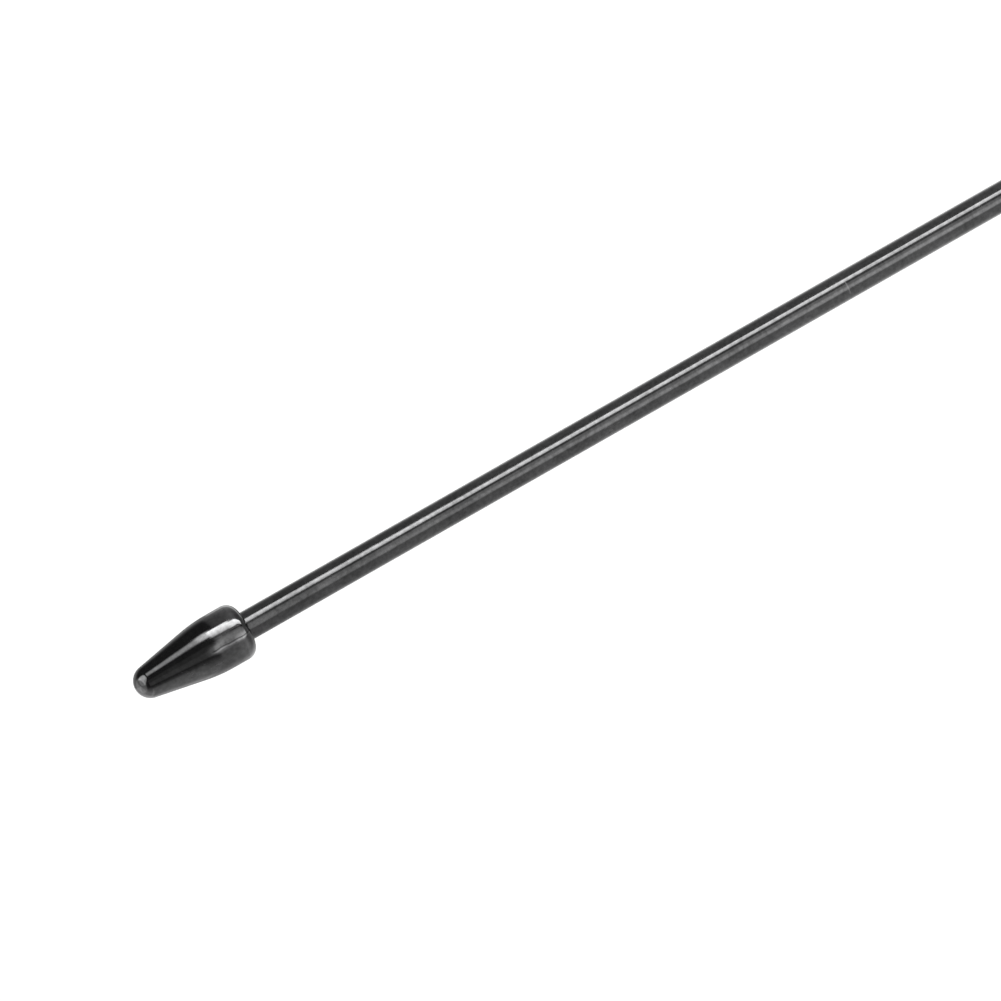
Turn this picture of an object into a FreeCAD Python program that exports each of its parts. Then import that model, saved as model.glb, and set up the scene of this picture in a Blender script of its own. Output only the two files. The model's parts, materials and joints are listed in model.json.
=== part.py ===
"""Mobile whip antenna: a slim black-chrome whip with a bullet tip cap, carried by a fold-over hinge
on a loaded base that screws onto a vehicle's antenna socket with a 5/8-24 coaxial plug.

Millimetres. +Z runs up the whip and z = 0 is the face of the plug's flange, which seats on the
socket. The hinge pin lies along Y and the whip folds towards +X.
"""

import FreeCAD, Part
import os
import re
import Sketcher

# Driving sizes, piece by piece
SIZES = {
    # fits
    "slip_fit": 0.02,  # radial play of pieces that are pushed or screwed together
    "end_play": 0.2,  # room left at the bottom of a blind seat
    "turning_fit": 0.05,  # radial play of the hinge tongue on its screw
    "edge_break": 0.4,  # chamfer on turned edges
    # plug body
    "sleeve_dia": 11.9,  # outer sleeve, which enters the socket's barrel
    "sleeve_bore": 9.8,  # bore of the sleeve
    "sleeve_length": 7.0,  # sleeve ahead of the seating face
    "sleeve_slot_count": 4,  # notches in the sleeve's front rim
    "sleeve_slot_width": 1.2,  # width of a notch
    "sleeve_slot_depth": 0.5,  # depth of a notch, short of the insulator
    "flange_dia": 14.6,  # flange that holds the coupling ring
    "flange_thickness": 2.5,
    "neck_dia": 12.0,  # neck inside the coupling ring's lip
    "neck_length": 5.5,
    "shank_dia": 11.0,  # threaded shank in the base collar
    "shank_length": 5.8,
    "shank_bore": 8.0,  # bore of the shank
    "bore_step": 2.0,  # web between the wide and the narrow bore
    # plug insulator and centre pin
    "insulator_recess": 0.7,  # insulator face behind the sleeve's rim
    "insulator_stand": 0.5,  # insulator above the base collar
    "pin_dia": 4.0,  # centre pin
    "pin_reach": 9.2,  # pin ahead of the insulator
    "pin_bevel": 0.8,  # bevel of the pin's end
    "stem_dia": 2.4,  # pin's stem through the insulator
    # coupling ring
    "ring_dia": 18.6,  # over the knurl
    "ring_reach": 13.0,  # ring ahead of the seating face
    "ring_thread_bore": 14.9,  # minor diameter of the 5/8-24 thread
    "ring_thread_length": 10.0,
    "ring_relief_dia": 16.2,  # clearance round the flange
    "ring_float": 0.3,  # play between flange and lip
    "ring_lip_thickness": 2.2,  # lip behind the flange
    "ring_lip_play": 0.4,  # radial play of the lip on the neck
    "ring_band_length": 1.8,  # plain band at each end
    "ring_band_step": 0.5,  # band below the knurl's crests
    "knurl_count": 32,  # straight flutes
    "knurl_depth": 0.4,
    # base collar and gaskets
    "collar_dia": 18.0,
    "collar_thickness": 3.0,  # collar between plug and housing
    "collar_spigot_dia": 14.9,  # threaded spigot in the housing
    "collar_spigot_length": 5.0,
    "base_gasket_thickness": 0.8,
    "fork_gasket_thickness": 0.6,
    "fork_gasket_dia": 15.2,
    # coil housing
    "housing_length": 34.0,
    "housing_top_dia": 16.0,
    "housing_slope": 1.6,  # height of the sloped top edge
    "housing_roof": 8.3,  # thickness of the top wall
    "insert_dia": 11.0,  # brass insert in the top wall
    "insert_flange_dia": 13.0,
    "insert_flange_thickness": 1.5,
    # coil, former and capacitor
    "former_dia": 9.0,
    "former_gap": 1.5,  # former below the insert
    "former_grip": 3.5,  # depth that pin and stud enter the former
    "wire_dia": 1.2,
    "coil_turns": 3,
    "lead_height": 2.2,  # wire's holes from the former's ends
    "capacitor_dia": 3.0,
    "capacitor_thickness": 0.9,
    "capacitor_lead_dia": 0.5,
    "capacitor_gap": 0.4,  # capacitor clear of the coil and of the collar
    # hinge fork
    "stud_dia": 8.0,  # threaded stud in the insert
    "stud_length": 8.0,
    "stud_tip_dia": 3.0,  # tip that meets the coil's upper lead
    "fork_dia": 16.0,  # bar that the fork is turned from
    "fork_flange_thickness": 3.0,
    "knuckle_width": 12.0,  # across the flats of ears and tongue
    "hinge_gap": 0.3,  # tongue above the slot's floor
    "shoulder_gap": 0.4,  # ferrule's shoulder above the ears
    "tongue_thickness": 6.0,
    # hinge screw, nut and washers
    "screw_dia": 4.0,
    "head_dia": 7.6,
    "head_height": 2.2,
    "head_bevel": 0.6,  # bevel of the head's rim
    "head_seat_play": 0.2,  # radial play round the head
    "key_width": 2.5,  # hexagon socket across flats
    "key_depth": 1.3,
    "nut_width": 7.0,  # across flats
    "nut_thickness": 2.2,
    "nut_pocket_play": 0.1,  # each side of the nut
    "spring_washer_dia": 6.8,
    "spring_washer_thickness": 0.4,
    "spring_washer_rise": 0.2,
    "washer_dia": 7.6,  # friction washer
    "washer_thickness": 0.5,
    "washer_gap": 0.1,  # washer clear of the tongue
    # whip ferrule
    "ferrule_dia": 12.0,
    "ferrule_straight": 4.0,  # straight stretch above the shoulder
    "ferrule_slope": 3.0,  # height of the cone down to the barrel
    "ferrule_length": 30.0,  # shoulder to top
    "barrel_dia": 9.0,  # slender stretch round the rod
    "barrel_bevel": 0.8,
    "whip_socket_depth": 22.0,
    "grub_dia": 3.0,
    "grub_length": 2.8,
    "grub_key_width": 1.5,  # hexagon socket across flats
    "grub_key_depth": 1.2,
    "grub_height": 9.0,  # upper grub screw below the ferrule's top
    "grub_spacing": 8.0,
    # whip rod and tip cap
    "rod_dia": 3.0,
    "rod_length": 376.0,  # with the stretches in ferrule and cap
    "rod_chamfer": 0.3,
    "cap_wall": 1.5,  # cap outside the rod, along the straight stretch
    "cap_length": 12.8,
    "cap_band": 3.0,  # rear face to the end of the straight stretch
    "cap_rear_round": 1.25,  # rounding of the rear edge
    "cap_blend_radius": 16.3,  # arc from the straight stretch into the cone
    "cap_nose_radius": 1.73,
    "cap_socket_depth": 9.0,
}

# Heights above the seating face, and the few lengths that follow from more than one piece
PLACES = {
    "insulator_front": "insulator_recess - sleeve_length",
    "neck_top": "flange_thickness + neck_length",
    "ring_rear": "flange_thickness + ring_float + ring_lip_thickness",
    "ring_band_radius": "ring_dia / 2 - ring_band_step",
    "collar_seat": "neck_top + collar_thickness",
    "collar_top": "collar_seat + collar_spigot_length",
    "housing_foot": "collar_seat + base_gasket_thickness",
    "housing_top": "housing_foot + housing_length",
    "housing_bore_radius": "collar_spigot_dia / 2 + slip_fit",
    "former_foot": "collar_top + insulator_stand",
    "former_top": "housing_top - housing_roof - insert_flange_thickness - former_gap",
    "former_length": "former_top - former_foot",
    "coil_radius": "(former_dia + wire_dia) / 2 + slip_fit",
    "coil_foot": "former_foot + lead_height",
    "coil_height": "former_length - 2 * lead_height",
    "fork_seat": "housing_top + fork_gasket_thickness",
    "hinge_height": "fork_seat + fork_flange_thickness + hinge_gap + knuckle_width / 2",
    "ears_floor": "-hinge_gap - knuckle_width / 2",
    "slot_half": "tongue_thickness / 2 + washer_gap + washer_thickness",
    "shoulder": "knuckle_width / 2 + shoulder_gap",
    "head_seat": "fork_dia / 2 - head_height",
    "nut_seat": "fork_dia / 2 - nut_thickness",
    "nut_pocket_floor": "nut_seat - spring_washer_thickness - spring_washer_rise",
    "ferrule_top": "hinge_height + shoulder + ferrule_length",
    "rod_foot": "ferrule_top - whip_socket_depth",
    "cap_foot": "rod_foot + rod_length - cap_socket_depth",
    "cap_dia": "rod_dia + 2 * cap_wall",
    "nose_centre": "cap_length - cap_nose_radius",
    "cap_half_width": "cap_blend_radius - cap_dia / 2",
    "cap_half_length": "nose_centre - cap_band",
    "cap_span": "sqrt(cap_half_width ^ 2 + cap_half_length ^ 2)",
    "cap_cone_angle": "atan(cap_half_length / cap_half_width)"
                      " - acos((cap_blend_radius - cap_nose_radius) / cap_span)",
}

# A sketch's own origin, as the constraints name it
ORIGIN = (-1, 1)

OUTSIDE = "fork_dia"
COIL_FACETS = 16
WIRE_FACETS = 6
CLOSE = 1e-4

document = FreeCAD.newDocument("WhipAntenna")
sheet_of = {}


def add_sheets():
    """Write the driving sizes and the places that follow from them, one named cell each."""
    sizes = document.addObject("Spreadsheet::Sheet", "Sizes")
    for row, (name, value) in enumerate(SIZES.items(), start=1):
        add_cell(sizes, row, name, str(value))
    document.recompute()
    places = document.addObject("Spreadsheet::Sheet", "Places")
    for row, (name, formula) in enumerate(PLACES.items(), start=1):
        add_cell(places, row, name, "=" + full(formula))
        document.recompute()


def add_cell(sheet, row, name, content):
    """A row of a sheet: the plain name, and beside it the value under that name."""
    sheet.set(f"A{row}", name.replace("_", " "))
    sheet.set(f"B{row}", content)
    sheet.setAlias(f"B{row}", name)
    sheet_of[name] = sheet.Name


def full(formula):
    """Put the sheet's name before each size in a formula."""
    return re.sub(r"[a-z_]{3,}", lambda word: f"{sheet_of[word.group()]}.{word.group()}"
                  if word.group() in sheet_of else word.group(), formula)


def size(formula):
    """A formula's value."""
    found = document.Sizes.evalExpression(full(formula))
    return float(getattr(found, "Value", found))


def own_plane(body, role):
    """One of the body's own origin planes."""
    return next(item for item in body.Origin.OriginFeatures if item.Role == role)


def new_sketch(body, name, role, lift=None):
    """An empty sketch on one of the body's planes, lifted along the plane's normal."""
    sketch = body.newObject("Sketcher::SketchObject", name)
    sketch.AttachmentSupport = [(own_plane(body, role), "")]
    sketch.MapMode = "FlatFace"
    if lift:
        sketch.setExpression("AttachmentOffset.Base.z", full(lift))
    return sketch


def hold(sketch, geometry, point, across, up):
    """Tie a point of the sketch to its two formulas. On an axis it is tied to the axis itself,
    which the constraint knows by its number: -1 across the sketch, -2 up it."""
    for kind, formula, axis in (("DistanceX", across, -2), ("DistanceY", up, -1)):
        if formula == "0":
            sketch.addConstraint(Sketcher.Constraint("PointOnObject", geometry, point, axis))
            continue
        rule = Sketcher.Constraint(kind, *ORIGIN, geometry, point, size(formula))
        sketch.setExpression(f"Constraints[{sketch.addConstraint(rule)}]", full(formula))


def draw_loop(sketch, points):
    """Draw a closed outline. A point is (across, up), or (across, up, radius) where the run to the
    next point is an arc: with a plus radius it turns left, with a minus sign it turns right."""
    spots = [FreeCAD.Vector(size(point[0]), size(point[1]), 0) for point in points]
    ends = []
    for index, point in enumerate(points):
        start = spots[index]
        end = spots[(index + 1) % len(points)]
        if len(point) == 2:
            ends.append((sketch.addGeometry(Part.LineSegment(start, end), False), 1, 2))
            continue
        left = not point[2].startswith("-")
        radius = size(point[2].lstrip("-"))
        chord = end - start
        normal = FreeCAD.Vector(-chord.y, chord.x, 0).normalize() * (1 if left else -1)
        middle = start + chord / 2 + normal * (radius ** 2 - (chord.Length / 2) ** 2) ** 0.5
        first, last = ((start, end) if left else (end, start))
        bow = middle - normal * radius
        arc = sketch.addGeometry(Part.Arc(first, bow, last), False)
        rule = sketch.addConstraint(Sketcher.Constraint("Radius", arc, radius))
        sketch.setExpression(f"Constraints[{rule}]", full(point[2].lstrip("-")))
        ends.append((arc, 1, 2) if left else (arc, 2, 1))
    for index, (geometry, first, last) in enumerate(ends):
        following, its_first, _ = ends[(index + 1) % len(ends)]
        sketch.addConstraint(Sketcher.Constraint("Coincident", geometry, last, following, its_first))
        hold(sketch, geometry, first, *points[index][:2])


def draw_circle(sketch, across, up, radius):
    """Draw a circle about a point."""
    spot = FreeCAD.Vector(size(across), size(up), 0)
    ring = sketch.addGeometry(Part.Circle(spot, FreeCAD.Vector(0, 0, 1), size(radius)), False)
    rule = sketch.addConstraint(Sketcher.Constraint("Radius", ring, size(radius)))
    sketch.setExpression(f"Constraints[{rule}]", full(radius))
    hold(sketch, ring, 3, across, up)


def draw_hexagon(sketch, width):
    """Draw a hexagon about the origin, its width across flats."""
    corner = f"({width}) / 2 / cos(30)"
    draw_loop(sketch, [(f"{corner} * cos({60 * turn + 30})" if turn % 3 != 1 else "0",
                        f"{corner} * sin({60 * turn + 30})") for turn in range(6)])


def new_body(name, height=None):
    """A body whose own origin stands at a height on the antenna's axis."""
    body = document.addObject("PartDesign::Body", name)
    body.Label = name
    if height:
        body.setExpression("Placement.Base.z", full(height))
    return body


def turned(name, profile, height=None, axis="Z"):
    """A body turned about one of its axes from a profile of (radius, distance along the axis)."""
    body = new_body(name, height)
    role = {"Z": "XZ_Plane", "Y": "YZ_Plane", "X": "XZ_Plane"}[axis]
    sketch = new_sketch(body, name + "_profile", role)
    if axis != "Z":
        profile = [(point[1], point[0], *point[2:]) for point in profile]
    draw_loop(sketch, profile)
    turn = body.newObject("PartDesign::Revolution", name + "_turned")
    turn.Profile = sketch
    turn.ReferenceAxis = (sketch, ["V_Axis" if axis == "Z" else "H_Axis"])
    turn.Angle = 360
    document.recompute()
    return body


def padded(body, sketch, thickness):
    """Raise a sketch into a solid along its normal."""
    pad = body.newObject("PartDesign::Pad", sketch.Name + "_pad")
    pad.Profile = sketch
    pad.setExpression("Length", full(thickness))
    document.recompute()


def cut_checked(body, feature, before):
    """Recompute a cut and make sure that it took something away."""
    document.recompute()
    if not body.Shape.Volume < before - 1e-6:
        raise RuntimeError(f"{feature.Name} cuts nothing")


def milled(body, sketch, depth=None, side="both"):
    """Cut a sketch's outline out of a body: through it both ways, or away from the sketch on its
    front (along the normal) or its back, all the way or to a depth."""
    before = body.Shape.Volume
    pocket = body.newObject("PartDesign::Pocket", sketch.Name + "_cut")
    pocket.Profile = sketch
    pocket.Type = "Length" if depth else "ThroughAll"
    if depth:
        pocket.setExpression("Length", full(depth))
    if side == "both":
        pocket.SideType = "Symmetric"
    pocket.Reversed = side == "front"
    cut_checked(body, pocket, before)
    return pocket


def bored(body, name, profile, axis="Y"):
    """Cut a turned hole, given as (radius, distance along the axis), about one of a body's axes."""
    before = body.Shape.Volume
    sketch = new_sketch(body, name, "YZ_Plane" if axis == "Y" else "XZ_Plane")
    draw_loop(sketch, [(point[1], point[0]) if axis == "Y" else point for point in profile])
    groove = body.newObject("PartDesign::Groove", name + "_cut")
    groove.Profile = sketch
    groove.ReferenceAxis = (sketch, ["H_Axis" if axis == "Y" else "V_Axis"])
    groove.Angle = 360
    cut_checked(body, groove, before)


def edges_at(body, radius, height):
    """Names of the body's circular edges of a radius, at a height about its own axis."""
    names = []
    feature = body.Tip
    for number, edge in enumerate(feature.Shape.Edges, start=1):
        if not isinstance(edge.Curve, Part.Circle):
            continue
        centre = edge.Curve.Center
        off_axis = abs(centre.x) + abs(centre.y)
        at_height = abs(centre.z - size(height)) < CLOSE
        if off_axis < CLOSE and at_height and abs(edge.Curve.Radius - size(radius)) < CLOSE:
            names.append(f"Edge{number}")
    if not names:
        raise RuntimeError(f"{body.Name} has no edge of radius {radius} at {height}")
    return names


def chamfered(body, amount, *rims):
    """Chamfer the rims given as (radius, height)."""
    names = [name for rim in rims for name in edges_at(body, *rim)]
    base = body.Tip
    chamfer = body.newObject("PartDesign::Chamfer", body.Name + "_chamfer")
    chamfer.Base = (base, names)
    chamfer.setExpression("Size", full(amount))
    document.recompute()


def grouped(name, pieces):
    """Like pieces as one part of separate solids."""
    group = document.addObject("Part::Compound", name)
    group.Label = name
    group.Links = pieces
    document.recompute()
    return group


def plug_body():
    """Sleeve, flange, neck and threaded shank in one turned piece, its front rim notched."""
    body = turned("plug_body", [
        ("sleeve_bore / 2", "-sleeve_length"),
        ("sleeve_dia / 2", "-sleeve_length"),
        ("sleeve_dia / 2", "0"),
        ("flange_dia / 2", "0"),
        ("flange_dia / 2", "flange_thickness"),
        ("neck_dia / 2", "flange_thickness"),
        ("neck_dia / 2", "neck_top"),
        ("shank_dia / 2", "neck_top"),
        ("shank_dia / 2", "neck_top + shank_length"),
        ("shank_bore / 2", "neck_top + shank_length"),
        ("shank_bore / 2", "neck_top - bore_step"),
        ("sleeve_bore / 2", "neck_top - bore_step"),
    ])
    notch = new_sketch(body, "sleeve_notch", "XY_Plane", "-sleeve_length")
    draw_loop(notch, [
        ("sleeve_bore / 2 - sleeve_slot_width", "-sleeve_slot_width / 2"),
        ("sleeve_dia / 2 + sleeve_slot_width", "-sleeve_slot_width / 2"),
        ("sleeve_dia / 2 + sleeve_slot_width", "sleeve_slot_width / 2"),
        ("sleeve_bore / 2 - sleeve_slot_width", "sleeve_slot_width / 2"),
    ])
    patterned(body, milled(body, notch, "sleeve_slot_depth", "front"), "sleeve_slot_count")
    return body


def patterned(body, feature, count):
    """Repeat a cut evenly round the body's axis."""
    pattern = body.newObject("PartDesign::PolarPattern", feature.Name + "_round")
    pattern.Originals = [feature]
    pattern.Axis = (feature.Profile[0], ["N_Axis"])
    pattern.Angle = 360
    pattern.setExpression("Occurrences", full(count))
    body.Tip = pattern
    document.recompute()


def plug_insulator():
    """Stepped insulator, pushed in from the sleeve's mouth against the step of the bore."""
    return turned("plug_insulator", [
        ("stem_dia / 2 + slip_fit", "0"),
        ("sleeve_bore / 2 - slip_fit", "0"),
        ("sleeve_bore / 2 - slip_fit", "neck_top - bore_step - insulator_front"),
        ("shank_bore / 2 - slip_fit", "neck_top - bore_step - insulator_front"),
        ("shank_bore / 2 - slip_fit", "former_foot - insulator_front"),
        ("stem_dia / 2 + slip_fit", "former_foot - insulator_front"),
    ], "insulator_front")


def centre_pin():
    """Pin with a bevelled end, its shoulder on the insulator and its stem up in the former."""
    return turned("centre_pin", [
        ("0", "-pin_reach"),
        ("pin_dia / 2 - pin_bevel", "-pin_reach"),
        ("pin_dia / 2", "pin_bevel - pin_reach"),
        ("pin_dia / 2", "0"),
        ("stem_dia / 2", "0"),
        ("stem_dia / 2", "former_foot + former_grip - insulator_front"),
        ("0", "former_foot + former_grip - insulator_front"),
    ], "insulator_front")


def coupling_ring():
    """Captive ring: thread bore, relief round the flange, lip behind it, knurl between bands."""
    body = turned("coupling_ring", [
        ("ring_thread_bore / 2", "-ring_reach"),
        ("ring_band_radius", "-ring_reach"),
        ("ring_band_radius", "ring_band_length - ring_reach"),
        ("ring_dia / 2", "ring_band_length - ring_reach"),
        ("ring_dia / 2", "ring_rear - ring_band_length"),
        ("ring_band_radius", "ring_rear - ring_band_length"),
        ("ring_band_radius", "ring_rear"),
        ("neck_dia / 2 + ring_lip_play", "ring_rear"),
        ("neck_dia / 2 + ring_lip_play", "ring_rear - ring_lip_thickness"),
        ("ring_relief_dia / 2", "ring_rear - ring_lip_thickness"),
        ("ring_relief_dia / 2", "ring_thread_length - ring_reach"),
        ("ring_thread_bore / 2", "ring_thread_length - ring_reach"),
    ])
    chamfered(body, "edge_break",
              ("ring_thread_bore / 2", "-ring_reach"),
              ("ring_band_radius", "-ring_reach"),
              ("ring_band_radius", "ring_rear"))
    flute = new_sketch(body, "knurl_flute", "XY_Plane")
    draw_loop(flute, [
        ("ring_dia / 2 - knurl_depth", "0"),
        ("ring_dia / 2 + knurl_depth", "-2 * knurl_depth"),
        ("ring_dia / 2 + knurl_depth", "2 * knurl_depth"),
    ])
    patterned(body, milled(body, flute), "knurl_count")
    return body


def base_collar():
    """Collar that the plug's shank screws into, with the spigot that carries the housing."""
    body = turned("base_collar", [
        ("shank_dia / 2 + slip_fit", "0"),
        ("collar_dia / 2", "0"),
        ("collar_dia / 2", "collar_thickness"),
        ("collar_spigot_dia / 2", "collar_thickness"),
        ("collar_spigot_dia / 2", "collar_thickness + collar_spigot_length"),
        ("shank_bore / 2", "collar_thickness + collar_spigot_length"),
        ("shank_bore / 2", "shank_length + end_play"),
        ("shank_dia / 2 + slip_fit", "shank_length + end_play"),
    ], "neck_top")
    chamfered(body, "edge_break", ("collar_dia / 2", "0"))
    return body


def washer(name, hole, rim, thickness, height):
    """A flat ring about the antenna's axis."""
    return turned(name, [(hole, "0"), (rim, "0"), (rim, thickness), (hole, thickness)], height)


def coil_housing():
    """Shell over the coil, screwed onto the collar's spigot, its top edge sloped to the fork."""
    return turned("coil_housing", [
        ("housing_bore_radius", "0"),
        ("collar_dia / 2", "0"),
        ("collar_dia / 2", "housing_length - housing_slope"),
        ("housing_top_dia / 2", "housing_length"),
        ("insert_dia / 2 + slip_fit", "housing_length"),
        ("insert_dia / 2 + slip_fit", "housing_length - housing_roof"),
        ("housing_bore_radius", "housing_length - housing_roof"),
    ], "housing_foot")


def threaded_insert():
    """Brass insert pushed up into the housing's roof, its flange under the ceiling."""
    return turned("threaded_insert", [
        ("stud_dia / 2 + slip_fit", "-insert_flange_thickness"),
        ("insert_flange_dia / 2", "-insert_flange_thickness"),
        ("insert_flange_dia / 2", "0"),
        ("insert_dia / 2", "0"),
        ("insert_dia / 2", "housing_roof"),
        ("stud_dia / 2 + slip_fit", "housing_roof"),
    ], "housing_top - housing_roof")


def coil_former():
    """Rod between pin and stud, bored for both and cross-drilled for the leads."""
    body = turned("coil_former", [
        ("stem_dia / 2 + slip_fit", "0"),
        ("former_dia / 2", "0"),
        ("former_dia / 2", "former_length"),
        ("stud_tip_dia / 2 + slip_fit", "former_length"),
        ("stud_tip_dia / 2 + slip_fit", "former_length - former_grip - end_play"),
        ("0", "former_length - former_grip - end_play"),
        ("0", "former_grip + end_play"),
        ("stem_dia / 2 + slip_fit", "former_grip + end_play"),
    ], "former_foot")
    leads = new_sketch(body, "coil_lead_holes", "YZ_Plane")
    draw_circle(leads, "0", "lead_height", "wire_dia / 2 + slip_fit")
    draw_circle(leads, "0", "former_length - lead_height", "wire_dia / 2 + slip_fit")
    milled(body, leads, side="front")
    lead = new_sketch(body, "capacitor_lead_hole", "XZ_Plane")
    draw_circle(lead, "0", "lead_height", "capacitor_lead_dia / 2 + slip_fit")
    milled(body, lead, side="front")
    return body


def loading_coil():
    """Wire wound on the former, its ends led in through the former to pin and stud. The winding is
    a helix of flat facets, and each lead runs from the core that it meets out to the winding."""
    radius = size("coil_radius")
    height = size("coil_height")
    steps = int(size("coil_turns")) * COIL_FACETS
    sections = []
    for step in range(steps + 1):
        turn = FreeCAD.Rotation(FreeCAD.Vector(0, 0, 1), 360 * step / COIL_FACETS)
        lift = FreeCAD.Vector(0, 0, height * step / steps)
        sections.append([turn * corner + lift for corner in wire_corners(radius)])
    winding = faceted_tube(sections)
    for level, core in ((0, "stem_dia"), (height, "stud_tip_dia")):
        inner = FreeCAD.Vector(size(f"{core} / 2 + slip_fit"), 0, level)
        lead = Part.makeCylinder(size("wire_dia / 2"), radius - inner.x, inner, FreeCAD.Vector(1, 0, 0))
        winding = winding.fuse(lead)
    coil = document.addObject("Part::Feature", "loading_coil")
    coil.Label = "loading_coil"
    coil.Shape = winding
    coil.Placement = FreeCAD.Placement(FreeCAD.Vector(0, 0, size("coil_foot")), FreeCAD.Rotation())
    return coil


def wire_corners(radius):
    """Corners of the wire's section at a radius on the +X side."""
    turns = [FreeCAD.Rotation(FreeCAD.Vector(0, 1, 0), 360 * (corner + 0.5) / WIRE_FACETS)
             for corner in range(WIRE_FACETS)]
    spoke = FreeCAD.Vector(size("wire_dia / 2"), 0, 0)
    return [FreeCAD.Vector(radius, 0, 0) + turn * spoke for turn in turns]


def faceted_tube(sections):
    """A solid through a row of like sections, two triangles to each pair of neighbouring corners."""
    faces = [flat_face(sections[0]), flat_face(sections[-1])]
    for near, far in zip(sections, sections[1:]):
        for corner, start in enumerate(near):
            following = (corner + 1) % len(near)
            faces.append(flat_face([start, far[corner], near[following]]))
            faces.append(flat_face([near[following], far[corner], far[following]]))
    return Part.Solid(Part.Shell(faces))


def flat_face(corners):
    """A flat face with the given corners."""
    return Part.Face(Part.makePolygon([*corners, corners[0]]))


def rod_between(name, radius, length, across, height, upright):
    """A plain round bar: upright, or lying from a distance on the -Y side in towards the axis."""
    bar = document.addObject("Part::Cylinder", name)
    bar.setExpression("Radius", full(radius))
    bar.setExpression("Height", full(length))
    turn = FreeCAD.Rotation() if upright else FreeCAD.Rotation(FreeCAD.Vector(1, 0, 0), -90)
    bar.Placement = FreeCAD.Placement(FreeCAD.Vector(0, 0, 0), turn)
    bar.setExpression("Placement.Base.y", full(across))
    bar.setExpression("Placement.Base.z", full(height))
    return bar


def matching_capacitor():
    """Ceramic disc on the collar, one lead down to it and one in through the former to the pin."""
    inner_face = "(former_dia / 2 + wire_dia + 2 * slip_fit + capacitor_gap)"
    middle = f"({inner_face} + capacitor_thickness / 2)"
    disc_height = "(coil_foot + capacitor_gap - capacitor_lead_dia)"
    disc = rod_between("capacitor_disc", "capacitor_dia / 2", "capacitor_thickness",
                       f"-{inner_face} - capacitor_thickness", disc_height, False)
    inward = rod_between("capacitor_pin_lead", "capacitor_lead_dia / 2",
                         f"{middle} - stem_dia / 2 - slip_fit", f"-{middle}", "coil_foot", False)
    down = rod_between("capacitor_ground_lead", "capacitor_lead_dia / 2",
                       f"{disc_height} - collar_top", f"-{middle}", "collar_top", True)
    body = document.addObject("Part::MultiFuse", "matching_capacitor")
    body.Label = "matching_capacitor"
    body.Shapes = [disc, inward, down]
    document.recompute()
    return body


def hinge_fork():
    """Fork milled from a turned bar: stud and tip below, flange, two rounded ears, a slot for the
    tongue, a seat for the screw's head and a pocket for its nut. Its origin is the hinge's centre."""
    seat = "ears_floor - fork_flange_thickness"
    ear = "knuckle_width / 2"
    body = turned("hinge_fork", [
        ("0", "former_top - former_grip - hinge_height"),
        ("stud_tip_dia / 2", "former_top - former_grip - hinge_height"),
        ("stud_tip_dia / 2", f"{seat} - stud_length"),
        ("stud_dia / 2", f"{seat} - stud_length"),
        ("stud_dia / 2", seat),
        ("fork_dia / 2", seat),
        ("fork_dia / 2", ear),
        ("0", ear),
    ], "hinge_height")
    chamfered(body, "edge_break", ("fork_dia / 2", seat))
    ears = new_sketch(body, "ear_outline", "XZ_Plane")
    draw_loop(ears, [
        (f"-{OUTSIDE}", "ears_floor"),
        (f"-{ear}", "ears_floor"),
        (f"-{ear}", "0", f"-{ear}"),
        ("0", ear, f"-{ear}"),
        (ear, "0"),
        (ear, "ears_floor"),
        (OUTSIDE, "ears_floor"),
        (OUTSIDE, OUTSIDE),
        (f"-{OUTSIDE}", OUTSIDE),
    ])
    milled(body, ears)
    slot = new_sketch(body, "tongue_slot", "YZ_Plane")
    draw_loop(slot, [
        ("-slot_half", "ears_floor"),
        ("slot_half", "ears_floor"),
        ("slot_half", OUTSIDE),
        ("-slot_half", OUTSIDE),
    ])
    milled(body, slot)
    bored(body, "fork_screw_hole", [
        ("0", f"-{OUTSIDE}"),
        ("head_dia / 2 + head_seat_play", f"-{OUTSIDE}"),
        ("head_dia / 2 + head_seat_play", "-head_seat"),
        ("screw_dia / 2 + slip_fit", "-head_seat"),
        ("screw_dia / 2 + slip_fit", OUTSIDE),
        ("0", OUTSIDE),
    ])
    pocket = new_sketch(body, "nut_pocket", "XZ_Plane", "-nut_pocket_floor")
    draw_hexagon(pocket, "nut_width + 2 * nut_pocket_play")
    milled(body, pocket, side="back")
    return body


def hinge_screw():
    """Low-head screw along Y, its end flush with the nut."""
    out = "fork_dia / 2"
    body = turned("hinge_screw", [
        ("0", f"-{out}"),
        ("head_dia / 2 - head_bevel", f"-{out}"),
        ("head_dia / 2", f"head_bevel - {out}"),
        ("head_dia / 2", "-head_seat"),
        ("screw_dia / 2", "-head_seat"),
        ("screw_dia / 2", out),
        ("0", out),
    ], "hinge_height", "Y")
    key = new_sketch(body, "screw_key", "XZ_Plane", out)
    draw_hexagon(key, "key_width")
    milled(body, key, "key_depth", "back")
    return body


def hinge_nut():
    """Thin nut, flush in its pocket."""
    body = new_body("hinge_nut", "hinge_height")
    blank = new_sketch(body, "nut_outline", "XZ_Plane", "-fork_dia / 2")
    draw_hexagon(blank, "nut_width")
    draw_circle(blank, "0", "0", "screw_dia / 2 + slip_fit")
    padded(body, blank, "nut_thickness")
    return body


def spring_washer():
    """Conical washer under the nut: its rim on the pocket's floor, its hole's edge on the nut."""
    floor = "nut_pocket_floor"
    hole = "screw_dia / 2 + slip_fit"
    rim = "spring_washer_dia / 2"
    return turned("spring_washer", [
        (hole, f"{floor} + spring_washer_rise"),
        (rim, floor),
        (rim, f"{floor} + spring_washer_thickness"),
        (hole, "nut_seat"),
    ], "hinge_height", "Y")


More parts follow.
